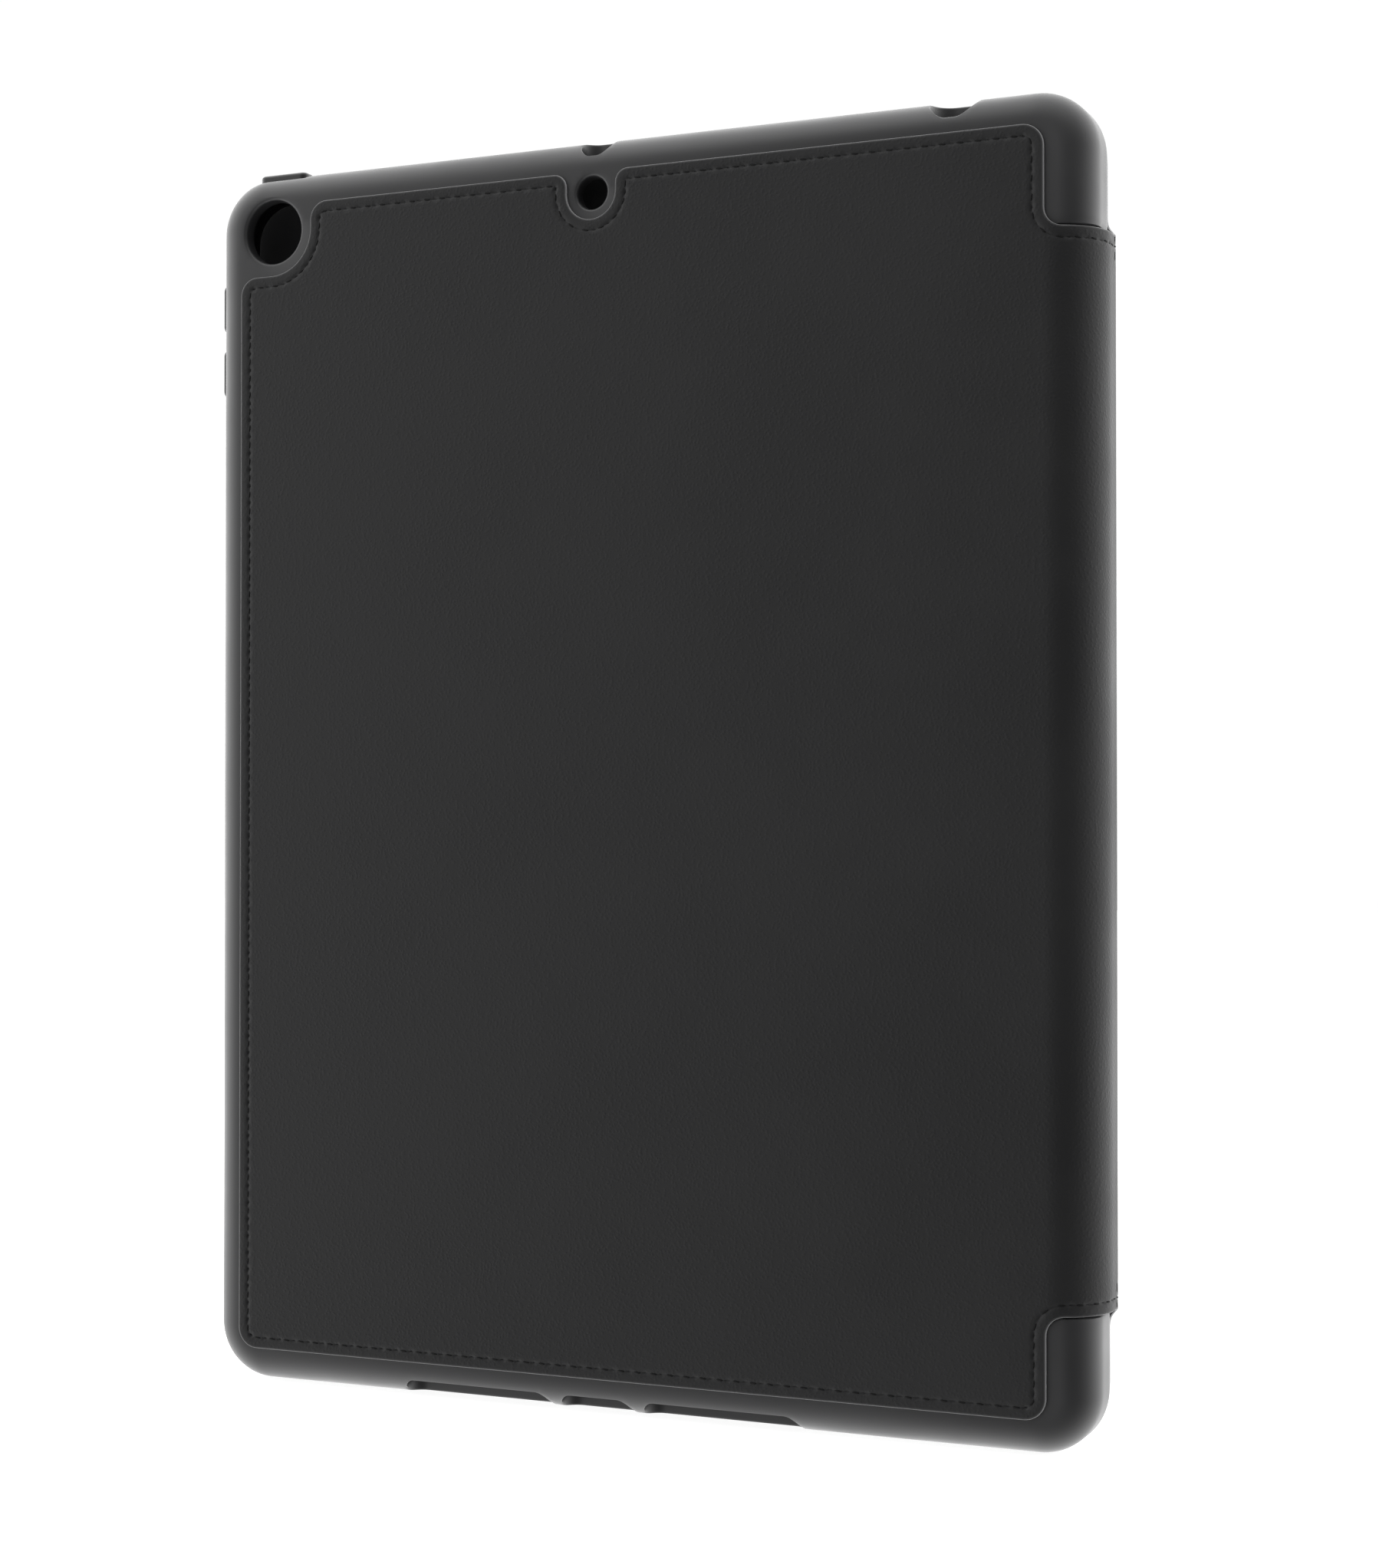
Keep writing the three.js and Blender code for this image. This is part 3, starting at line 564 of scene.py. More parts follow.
board = plain_finish(
    "stiffening_board",
    relief=(900, 3000, 0.8, 0.02),
    colour=(0.26, 0.22, 0.17),
    worn=(0.34, 0.3, 0.24),
    roughness=0.85,
    change=0.05,
    amount=0.7,
    scale=400,
)
magnet_metal = metal_finish("plated_magnet", (0.62, 0.62, 0.65), 0.28)
steel = metal_finish("rolled_steel", (0.5, 0.5, 0.52), 0.4)
print("materials:", ", ".join(material.name for material in bpy.data.materials))

# %% [markdown]
# ## The moulded shell
# The real shell is one soft moulding, so every edge on it is round. A smooth wall with holes in it
# is hard to cut with booleans, which leave long thin faces that spoil the highlights. Here the
# wall is unrolled instead: its length round the case and its width from the back to the front
# make a flat sheet. The holes are drawn on that sheet and the rest is filled with small faces,
# and then it is rolled up again.

# %% The shell's sizes
SHELL_CORNER = 12.0
BACK_ROUND = 6.5
FRONT_ROUND = 1.1
SIDE_WALL = 3.1
END_WALL = 3.45
BACK_WALL = 3.0
LIP_THICKNESS = 1.2
LIP_REACH = 0.9
LIP_ROUND = 0.4
TABLET_CORNER = 9.0
CHANNEL_RADIUS = 4.8
CHANNEL_FLOOR = 2.0
WALL_SPACING = 0.9
BAY_SPACING = 1.5
WALL_TURN = 2.5
HOLE_REACH = 5.1
BACK_ROW_OFFSETS = (4.0, 3.3, 2.6, 1.3)
BACK_ROUND_STEPS = 14
SIDE_STEPS = 5
FRONT_ROUND_STEPS = 4

port = openings["charge_port"]
bay = SimpleNamespace(
    left=shell.left + SIDE_WALL,
    right=2 * port.x - shell.left - SIDE_WALL,
    bottom=shell.bottom + END_WALL,
    top=shell.top - END_WALL,
    floor=shell.back + BACK_WALL,
    front=shell.front - LIP_THICKNESS,
)
shell_outline = rectangle(
    shell.left, shell.right, shell.bottom, shell.top, SHELL_CORNER, WALL_SPACING
)
bay_outline = rectangle(bay.left, bay.right, bay.bottom, bay.top, TABLET_CORNER, BAY_SPACING)


def wall_profile():
    """The wall's section from the back to the front, as rows of (inset, Y)."""
    rows = []
    for i in range(BACK_ROUND_STEPS + 1):
        angle = i / BACK_ROUND_STEPS * math.pi / 2
        inset = BACK_ROUND * (1 - math.sin(angle))
        rows.append((inset, shell.back + BACK_ROUND * (1 - math.cos(angle))))
    rows = [(BACK_ROUND + beyond, shell.back) for beyond in BACK_ROW_OFFSETS] + rows
    start, end = shell.back + BACK_ROUND, shell.front - FRONT_ROUND
    rows += [(0.0, start + (end - start) * i / SIDE_STEPS) for i in range(1, SIDE_STEPS)]
    for i in range(FRONT_ROUND_STEPS + 1):
        angle = i / FRONT_ROUND_STEPS * math.pi / 2
        inset = FRONT_ROUND * (1 - math.cos(angle))
        rows.append((inset, end + FRONT_ROUND * math.sin(angle)))
    return rows


back_rows = [row for row in wall_profile() if row[0] > HOLE_REACH]
wall_rows = [row for row in wall_profile() if row[0] <= HOLE_REACH]
print(f"the wall has {len(wall_rows)} rows of {len(shell_outline.points())} points")


def row_ring(row):
    """The solid points of one row of the shell's outside."""
    inset, y = row
    flat = shell_outline.points(inset)
    return flat, np.column_stack([flat[:, 0], np.full(len(flat), y), flat[:, 1]])


def back_height(flat):
    """How far forward of the flat back the shell's surface is, where its back edge is round."""
    middle = np.array([(shell.left + shell.right) / 2, (shell.bottom + shell.top) / 2])
    half = np.array([(shell.right - shell.left) / 2, (shell.top - shell.bottom) / 2])
    beyond = np.abs(flat - middle) - (half - SHELL_CORNER)
    outside = np.linalg.norm(np.maximum(beyond, 0), axis=1)
    inset = SHELL_CORNER - outside - np.minimum(beyond.max(axis=1), 0)
    reach = np.clip(BACK_ROUND - inset, 0, BACK_ROUND)
    return BACK_ROUND - np.sqrt(BACK_ROUND**2 - reach**2)

# %% [markdown]
# Three things bend the wall: the two scooped recesses that the buttons stand in, and the seat that
# the spine lies against. Each is a smooth push on the points that lie there.

# %% The recesses and the spine's seat
RECESS_DEPTH = 0.6
RECESS_MARGIN = 3.1
RECESS_HALF_WIDTH = 4.0
RECESS_SOFTNESS = 1.4
SPINE_ROUND = 10.25
SEAT_RADIUS = 8.5
SEAT_SOFTNESS = 1.2
SEAT_END_GAP = 0.25
SEAT_END_SOFTNESS = 0.5

power_pad = node_box("power_button_pad")
volume_pads = [node_box("volume_up_button_pad"), node_box("volume_down_button_pad")]
turn = SimpleNamespace(x=spine.right - SPINE_ROUND, y=back.back + SPINE_ROUND)


def soft_step(values):
    values = np.clip(values, 0, 1)
    return values * values * (3 - 2 * values)


def soft_patch(across, up, low, high, middle):
    """1 inside a patch with round ends, falling softly to 0 at its edge."""
    half = (high - low) / 2 - RECESS_HALF_WIDTH
    beyond = np.maximum(np.abs(across - (low + high) / 2) - half, 0)
    distance = RECESS_HALF_WIDTH - np.hypot(beyond, up - middle)
    return soft_step(distance / RECESS_SOFTNESS)


def press(points):
    """Pushes points of the shell's outside into the recesses and the spine's seat."""
    points = np.array(points, float)
    x, y, z = points[:, 0].copy(), points[:, 1].copy(), points[:, 2].copy()
    top_patch = soft_patch(
        x, y, power_pad.left - RECESS_MARGIN, power_pad.right + RECESS_MARGIN, power_pad.y
    )
    on_top = z > shell.top - BACK_ROUND
    points[:, 2] -= RECESS_DEPTH * top_patch * on_top
    low = min(pad.bottom for pad in volume_pads) - RECESS_MARGIN
    high = max(pad.top for pad in volume_pads) + RECESS_MARGIN
    side_patch = soft_patch(z, y, low, high, volume_pads[0].y)
    on_side = x < shell.left + BACK_ROUND
    points[:, 0] += RECESS_DEPTH * side_patch * on_side
    ends = np.minimum(z - (spine.bottom - SEAT_END_GAP), spine.top + SEAT_END_GAP - z)
    seated = soft_step(ends / SEAT_END_SOFTNESS + 0.5)
    seated *= soft_step((x - turn.x) / SEAT_SOFTNESS + 1)
    beyond, below = np.maximum(x - turn.x, 0), np.minimum(y - turn.y, 0)
    radius = np.hypot(beyond, below)
    scale = np.minimum(1, SEAT_RADIUS / np.maximum(radius, 1e-6))
    seat_x = x - beyond + beyond * scale
    seat_y = y - below + below * scale
    points[:, 0] += (seat_x - x) * seated
    points[:, 1] += (seat_y - y) * seated
    return points


# %% [markdown]
# A hole in the wall is drawn as an outline in the plane of its edge. Its lip is four copies of
# that outline: the first lies on the wall, and each next one is smaller and deeper, so the edge
# rolls in as it does on a soft moulding. The last goes straight through to the tablet bay.

# %% Holes in the wall
HOLE_MARGIN = 1.0
HOLE_ROUND = 2.8
HOLE_SPACING = 0.5
HOLE_LIP = [(0.3, 0.0), (0.17, 0.04), (0.06, 0.15), (0.0, 0.4)]
HOLE_SCOOP = 1.5
EDGE_HOLE_DEPTHS = (1.1, 7.0)
TOP_MICROPHONE_DEPTHS = (0.8, 6.9)
JACK_DEPTHS = (0.65, 9.0)
JACK_HALF_WIDTH = 5.1
JACK_ROUND = 4.1
WINDOW_LIP = [(0.3, 0.0), (0.16, 0.03), (0.05, 0.12), (0.0, 0.3)]
WINDOW_GAP = 0.3
WINDOW_SPACING = 0.4
PAD_ROUND = 1.4


def edge_hole(edge, left, right, depths, radius):
    """A hole between two places along the edge, and between two depths from the shell's back."""
    back, front = shell.back + depths[0], shell.back + depths[1]
    outline = rectangle(left, right, back, front, radius, HOLE_SPACING)
    return {"edge": edge, "outline": outline, "lip": HOLE_LIP}


def slot(edge, name, depths):
    box = openings[name]
    left, right = box.left - HOLE_MARGIN, box.right + HOLE_MARGIN
    return edge_hole(edge, left, right, depths, HOLE_ROUND)


def jack_hole():
    middle = openings["headphone_jack"].x
    left, right = middle - JACK_HALF_WIDTH, middle + JACK_HALF_WIDTH
    return edge_hole("top", left, right, JACK_DEPTHS, JACK_ROUND)


def pad_window(edge, pad):
    gap = WINDOW_GAP
    low, high = (pad.left, pad.right) if edge == "top" else (pad.bottom, pad.top)
    back, front = pad.back - gap, pad.front + gap
    outline = rectangle(low - gap, high + gap, back, front, PAD_ROUND + gap, WINDOW_SPACING)
    return {"edge": edge, "outline": outline, "lip": WINDOW_LIP}


wall_holes = [
    slot("top", "top_microphone", TOP_MICROPHONE_DEPTHS),
    slot("bottom", "charge_port", EDGE_HOLE_DEPTHS),
    slot("bottom", "left_speaker_slot", EDGE_HOLE_DEPTHS),
    slot("bottom", "right_speaker_slot", EDGE_HOLE_DEPTHS),
    jack_hole(),
    pad_window("top", power_pad),
    *[pad_window("left", pad) for pad in volume_pads],
]


def on_edge(edge, flat, sink, box, corner, inset):
    """Solid points for flat points (along the edge, Y), sunk below the wall's surface."""
    along, y = flat[:, 0], flat[:, 1]
    if edge == "left":
        return np.column_stack([box.left + inset + sink + 0 * along, y, along])
    past = np.maximum(np.maximum(box.left + corner - along, along - box.right + corner), 0)
    fall = corner - np.sqrt((corner - inset) ** 2 - past**2) + sink
    height = box.top - fall if edge == "top" else box.bottom + fall
    return np.column_stack([along, y, height])


class Wall:
    """The unrolled wall: stations along an outline, and the way across a profile."""

    def __init__(self, outline, rows):
        self.outline = outline
        self.base = outline.points()
        around = np.vstack([self.base, self.base[:1]])
        steps = np.linalg.norm(np.diff(around, axis=0), axis=1)
        self.stations = np.concatenate([[0], np.cumsum(steps)])
        self.insets = np.array([row[0] for row in rows])
        self.depths = np.array([row[1] for row in rows])
        steps = np.hypot(np.diff(self.insets), np.diff(self.depths))
        self.across = np.concatenate([[0], np.cumsum(steps)])

    def inset_at(self, y):
        return np.interp(y, self.depths, self.insets)

    def flat(self, edge, points):
        """Where flat points (along an edge, Y) lie on the unrolled wall."""
        low, high = self.base.min(0), self.base.max(0)
        axis, level = {"top": (1, high[1]), "bottom": (1, low[1]), "left": (0, low[0])}[edge]
        there = np.abs(self.base[:, axis] - level) < WALL_TURN
        place = self.base[there][:, 1 - axis]
        station = self.stations[:-1][there]
        order = np.argsort(place)
        along = np.interp(points[:, 0], place[order], station[order])
        return np.column_stack([along, np.interp(points[:, 1], self.depths, self.across)])

    def build(self, surface, holes, clearance, shape=lambda points: points):
        """Adds the wall. holes is a list of (indices, flat points). Returns its two rims."""
        count = len(self.base)
        rings = []
        for inset, depth in zip(self.insets, self.depths):
            outline = self.outline.points(inset)
            solid = np.column_stack([outline[:, 0], np.full(count, depth), outline[:, 1]])
            rings.append(shape(solid))
        first = surface.ring(rings[0])
        last = surface.ring(rings[-1])
        end_column = [surface.ring(ring[:1])[0] for ring in rings]
        start_column = [surface.ring(ring[:1])[0] for ring in rings]
        flat_first = [(s, 0.0) for s in self.stations[:-1]]
        flat_last = [(s, self.across[-1]) for s in self.stations[:-1]]
        total = self.stations[-1]
        loop = first + end_column + last[::-1] + start_column[-2:0:-1]
        flat_loop = (
            flat_first
            + [(total, w) for w in self.across]
            + flat_last[::-1]
            + [(0.0, w) for w in self.across[-2:0:-1]]
        )
        extra, solid = [], []
        for row in range(1, len(rings) - 1):
            extra += [(s, self.across[row]) for s in self.stations[1:-1]]
            solid += list(rings[row][1:])
        keep = np.ones(len(extra), bool)
        for _, ring in holes:
            centre = ring.mean(0)
            half = (ring.max(0) - ring.min(0)) / 2
            grown = centre + (ring - centre) * (1 + clearance / half)
            if extra:
                keep &= ~inside(np.array(extra), grown)
        extra = [point for point, kept in zip(extra, keep) if kept]
        solid = [point for point, kept in zip(solid, keep) if kept]
        surface.fill([(loop, flat_loop), *holes], extra, solid)
        return first, last


outer_wall = Wall(shell_outline, wall_rows)
bay_wall = Wall(bay_outline, [(0.0, bay.floor), (0.0, bay.front)])
print(f"the wall is {outer_wall.stations[-1]:.0f} mm round, with {len(wall_holes)} holes")

# %% [markdown]
# Now the parts come together in one closed surface. The wall carries the holes. The flat back has
# the camera and microphone holes with wide flared lips, and a shallow recess for the board under
# the leather. The front has the lip that holds the tablet and the channel for the pencil.

# %% The holes in the back, the channel and the lip
CAMERA_RADIUS = 6.75
BACK_MIC_RADIUS = 3.3
FLARE = [(0.74, 0.0), (0.52, 0.05), (0.31, 0.16), (0.13, 0.38), (0.03, 0.75), (0.0, 1.1)]
CIRCLE_STEPS = 96
MIC_FLARE_SHARE = 0.9
BOARD_RECESS = 0.75
INNER_MARGIN = 0.1
CHANNEL_END_GAP = 0.15
CHANNEL_CORNER = 0.8
CHANNEL_SPACING = 2.0
CHANNEL_STEPS = 9
LIP_STEPS = 3


def circle(x, z, radius, steps=CIRCLE_STEPS):
    angles = np.arange(steps) / steps * 2 * math.pi
    return np.column_stack([x + radius * np.cos(angles), z + radius * np.sin(angles)])


def at_depth(flat, y):
    flat = np.asarray(flat)
    return np.column_stack([flat[:, 0], np.full(len(flat), y), flat[:, 1]])


def add_wall_holes(surface):
    """The lips and tunnels of the wall's holes, and the loops that they leave in both walls."""
    outer, inner = [], []
    for hole in wall_holes:
        rings = []
        for grow, depth in hole["lip"]:
            flat = hole["outline"].points(-grow)
            inset = outer_wall.inset_at(flat[:, 1])
            sink = depth * (1 + HOLE_SCOOP * inset / BACK_ROUND)
            solid = on_edge(hole["edge"], flat, 0.0, shell, SHELL_CORNER, inset)
            deeper = on_edge(hole["edge"], flat, sink, shell, SHELL_CORNER, inset)
            rings.append(press(solid) + (deeper - solid))
        flat = hole["outline"].points()
        flat[:, 1] = np.clip(flat[:, 1], bay.floor + INNER_MARGIN, bay.front - INNER_MARGIN)
        rings.append(on_edge(hole["edge"], flat, 0.0, bay, TABLET_CORNER, 0.0))
        rows = surface.sweep(rings)
        lip = hole["outline"].points(-hole["lip"][0][0])
        outer.append((rows[0], outer_wall.flat(hole["edge"], lip)))
        inner.append((rows[-1], bay_wall.flat(hole["edge"], flat)))
    return outer, inner


def add_back_holes(surface):
    """The camera and microphone holes, and the loops that they leave in the back and floor."""
    outer, inner = [], []
    for name, radius in (("camera_hole", CAMERA_RADIUS), ("back_microphone", BACK_MIC_RADIUS)):
        box = openings[name]
        share = 1.0 if name == "camera_hole" else MIC_FLARE_SHARE
        rings = []
        for grow, sink in FLARE:
            flat = circle(box.x, box.z, radius + grow * share)
            solid = at_depth(flat, shell.back + sink * share)
            solid[:, 1] += back_height(flat)
            rings.append(solid)
        rings.append(at_depth(circle(box.x, box.z, radius), bay.floor))
        rows = surface.sweep(rings)
        outer.append((rows[0], circle(box.x, box.z, radius + FLARE[0][0] * share)))
        inner.append((rows[-1], circle(box.x, box.z, radius)))
    return outer, inner


def add_channel(surface):
    """The pencil channel: a trough with a round floor, open to the front."""
    box = openings["pencil_channel"]
    left, right = box.x - CHANNEL_RADIUS, box.x + CHANNEL_RADIUS
    bottom, top = box.bottom - CHANNEL_END_GAP, box.top + CHANNEL_END_GAP
    outline = rectangle(left, right, bottom, top, CHANNEL_CORNER, CHANNEL_SPACING)
    rings = []
    for i in range(LIP_STEPS + 1):
        angle = i / LIP_STEPS * math.pi / 2
        grow = LIP_ROUND * (1 - math.sin(angle))
        depth = shell.front - LIP_ROUND * (1 - math.cos(angle))
        rings.append(at_depth(outline.points(-grow), depth))
    floor_turn = shell.back + CHANNEL_FLOOR + CHANNEL_RADIUS
    for i in range(CHANNEL_STEPS):
        angle = i / CHANNEL_STEPS * math.pi / 2
        flat = outline.points()
        flat[:, 0] = box.x + (flat[:, 0] - box.x) * math.cos(angle)
        rings.append(at_depth(flat, floor_turn - CHANNEL_RADIUS * math.sin(angle)))
    rows = surface.sweep(rings)
    flat = [(point[0], point[2]) for point in rings[-1]]
    surface.fill([(rows[-1], flat)])
    return rows[0], outline.points(-LIP_ROUND)


def add_lip(surface, bay_front):
    """The lip over the tablet's edge, from the bay's front rim to the shell's front face."""
    rings = [
        at_depth(bay_outline.points(LIP_REACH), bay.front),
        at_depth(bay_outline.points(LIP_REACH), shell.front - LIP_ROUND),
    ]
    for i in range(1, LIP_STEPS + 1):
        angle = i / LIP_STEPS * math.pi / 2
        inset = LIP_REACH - LIP_ROUND * (1 - math.cos(angle))
        depth = shell.front - LIP_ROUND + LIP_ROUND * math.sin(angle)
        rings.append(at_depth(bay_outline.points(inset), depth))
    rows = surface.sweep(rings)
    surface.bridge(bay_front, rows[0])
    return rows[-1], bay_outline.points(LIP_REACH - LIP_ROUND)


# %% [markdown]
# The leather panel on the back has notches round the camera and the microphone. The recess that
# holds its board follows the same outline a little further in, so the outline is set here and
# used by both. A wide tab of the leather carries on round the side as the spine.

# %% The outline of the leather on the back
PANEL_CORNER = 4.3
CAMERA_NOTCH = 9.6
CAMERA_NOTCH_CORNER = 3.9
MIC_NOTCH = 5.5
MIC_NOTCH_CORNER = 2.8
TAB_FILLET = 3.7
RECESS_INSET = 3.7
PANEL_SPACING = 1.5
PANEL_END_GAP = 0.1

camera = openings["camera_hole"]
back_mic = openings["back_microphone"]
panel_end = turn.x - PANEL_END_GAP
notched_top = [
    (back.left, camera.z - CAMERA_NOTCH, CAMERA_NOTCH_CORNER),
    (camera.x + CAMERA_NOTCH, camera.z - CAMERA_NOTCH, CAMERA_NOTCH),
    (camera.x + CAMERA_NOTCH, back.top, CAMERA_NOTCH_CORNER),
    (back_mic.x - MIC_NOTCH, back.top, MIC_NOTCH_CORNER),
    (back_mic.x - MIC_NOTCH, back_mic.z - MIC_NOTCH, MIC_NOTCH),
    (back_mic.x + MIC_NOTCH, back_mic.z - MIC_NOTCH, MIC_NOTCH),
    (back_mic.x + MIC_NOTCH, back.top, MIC_NOTCH_CORNER),
]
panel_outline = Outline(
    [
        (panel_end, back.bottom, PANEL_CORNER),
        (back.left, back.bottom, PANEL_CORNER),
        *notched_top,
        (panel_end, back.top, PANEL_CORNER),
    ],
    PANEL_SPACING,
)
print(f"the leather panel has {len(panel_outline.points())} points round it")

# %% Build the shell
HOLE_CLEARANCE = 0.6
BACK_HOLE_CLEARANCE = 0.3


def build_shell():
    surface = Surface()
    outer, inner = add_wall_holes(surface)
    back_holes, floor_holes = add_back_holes(surface)
    back_rim, front_rim = outer_wall.build(surface, outer, HOLE_CLEARANCE, press)
    bay_floor, bay_front = bay_wall.build(surface, inner, HOLE_CLEARANCE)
    recess_flat = panel_outline.points(RECESS_INSET)
    depths = (shell.back, shell.back + BOARD_RECESS)
    recess = surface.sweep([at_depth(recess_flat, depth) for depth in depths])
    surface.fill([(recess[-1], recess_flat)])
    extra, extra_solid = [], []
    for row in back_rows:
        flat, solid = row_ring(row)
        clear = np.ones(len(flat), bool)
        for box, radius in ((camera, CAMERA_RADIUS), (back_mic, BACK_MIC_RADIUS)):
            reach = radius + FLARE[0][0] + BACK_HOLE_CLEARANCE
            clear &= np.hypot(flat[:, 0] - box.x, flat[:, 1] - box.z) > reach
        extra += list(flat[clear])
        extra_solid += list(press(solid)[clear])
    back_flat = shell_outline.points(wall_rows[0][0])
    loops = [(back_rim, back_flat), (recess[0], recess_flat), *back_holes]
    surface.fill(loops, extra, extra_solid)
    surface.fill([(bay_floor, bay_outline.points()), *floor_holes])
    mouth = add_lip(surface, bay_front)
    channel = add_channel(surface)
    surface.fill([(front_rim, shell_outline.points(FRONT_ROUND)), mouth, channel])
    thing = surface.build("shell_moulding", moulded)
    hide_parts("moulded_shell")
    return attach(thing, "shell")


build_shell()

# %% [markdown]
# ## The leather
# One strip of leather goes all the way round: over the back, round the side as the spine, round
# the front edge and over the three panels of the cover. So it is drawn flat, as a leather worker
# cuts it, and then laid along a path seen from above. A place on the pattern is the distance
# along that path and the height, and a third number says how far it stands off the path.

# %% Paths that flat patterns are laid along


class Path:
    """A line seen from above, made of straight and left-turning stretches, from X = 0."""

    def __init__(self, y, stretches):
        self.parts = []
        place, heading, along = np.array([0.0, y]), 0.0, 0.0
        for length, radius in stretches:
            ahead = np.array([math.cos(heading), math.sin(heading)])
            self.parts.append((along, place, heading, radius))
            if radius:
                turned = heading + length / radius
                centre = place + radius * np.array([-ahead[1], ahead[0]])
                place = centre + radius * np.array([math.sin(turned), -math.cos(turned)])
                heading = turned
            else:
                place = place + ahead * length
            along += length

    def solid(self, pattern, off):
        """Pattern points (along, up), standing off to the path's right, as solid points."""
        along, up = np.asarray(pattern).T
        off = off + 0 * along
        x, y = np.zeros_like(along), np.zeros_like(along)
        for i, (start, place, heading, radius) in enumerate(self.parts):
            end = self.parts[i + 1][0] if i + 1 < len(self.parts) else np.inf
            here = (along >= start if i else True) & (along < end)
            gone = along[here] - start
            if radius:
                angle = heading + gone / radius
                centre = place + radius * np.array([-math.sin(heading), math.cos(heading)])
                x[here] = centre[0] + (radius + off[here]) * np.sin(angle)
                y[here] = centre[1] - (radius + off[here]) * np.cos(angle)
            else:
                x[here] = place[0] + gone * math.cos(heading) + off[here] * math.sin(heading)
                y[here] = place[1] + gone * math.sin(heading) - off[here] * math.cos(heading)
        return np.column_stack([x, y, up])


QUARTER = math.pi / 2
CREASE_ROUND = 2.4
crease = node_box("front_crease_leather")
cover = node_box("inner_panel_leather")
cover_start = crease.right - CREASE_ROUND
spine_run = crease.front - CREASE_ROUND - turn.y
leather_path = Path(
    back.back,
    [
        (turn.x, 0),
        (SPINE_ROUND * QUARTER, SPINE_ROUND),
        (spine_run, 0),
        (CREASE_ROUND * QUARTER, CREASE_ROUND),
        (1, 0),
    ],
)
tab_end = turn.x + SPINE_ROUND * QUARTER + spine.front - turn.y
cover_along = leather_path.parts[-1][0]


def on_cover(x):
    """How far along the leather's path a place on the cover is."""
    return cover_along + cover_start - x


print(f"the leather's path is {on_cover(shell.left):.0f} mm long, and the tab ends at {tab_end:.1f}")

# %% [markdown]
# A skin is built like the shell, from its cut edge inwards. Its first rows are the edge, which is
# slightly rounded by the knife and the dye. Then come the furrow that the seam pulls the leather
# into, with a dimple at every needle hole, and the flat field. Where a skin carries on into its
# neighbour it has an open end, which is closed by a plain cap.

# %% Build a skin from its pattern
STITCH_PITCH = 3.55
STITCH_LENGTH = 2.2
THREAD_RADIUS = 0.22
SEAM_INSET = 2.3
HOLE_WIDTH = 0.42
RUNG_SPACING = 3.0
RUNG_MARGIN = 1.0


class Seam:
    """The line of stitches inside a chain of the pattern's edge."""

    def __init__(self, chain):
        self.line = chain.points(SEAM_INSET)
        steps = np.linalg.norm(np.diff(self.line, axis=0), axis=1)
        self.stations = np.concatenate([[0], np.cumsum(steps)])
        self.count = round(self.stations[-1] / STITCH_PITCH)
        self.pitch = self.stations[-1] / self.count

    def holes(self):
        """1 at a needle hole and 0 between, for every point of the line."""
        away = np.abs((self.stations / self.pitch + 0.5) % 1 - 0.5) * self.pitch
        return np.exp(-((away / HOLE_WIDTH) ** 2))

    def at(self, station):
        return np.column_stack(
            [np.interp(station, self.stations, self.line[:, k]) for k in (0, 1)]
        )


def rungs(low, high):
    """The heights between two heights that every upright column of points shares.

    Columns that share their heights join only to their neighbours, so a tight bend stays clean."""
    first = math.ceil((low + RUNG_MARGIN) / RUNG_SPACING)
    last = math.floor((high - RUNG_MARGIN) / RUNG_SPACING)
    return np.arange(first, last + 1) * RUNG_SPACING


def column(start, end):
    """Pattern points between two ends, without the ends."""
    start, end = np.array(start), np.array(end)
    ups = rungs(min(start[1], end[1]), max(start[1], end[1]))
    share = np.sort((ups - start[1]) / (end[1] - start[1]))[:, None]
    return start + (end - start) * share


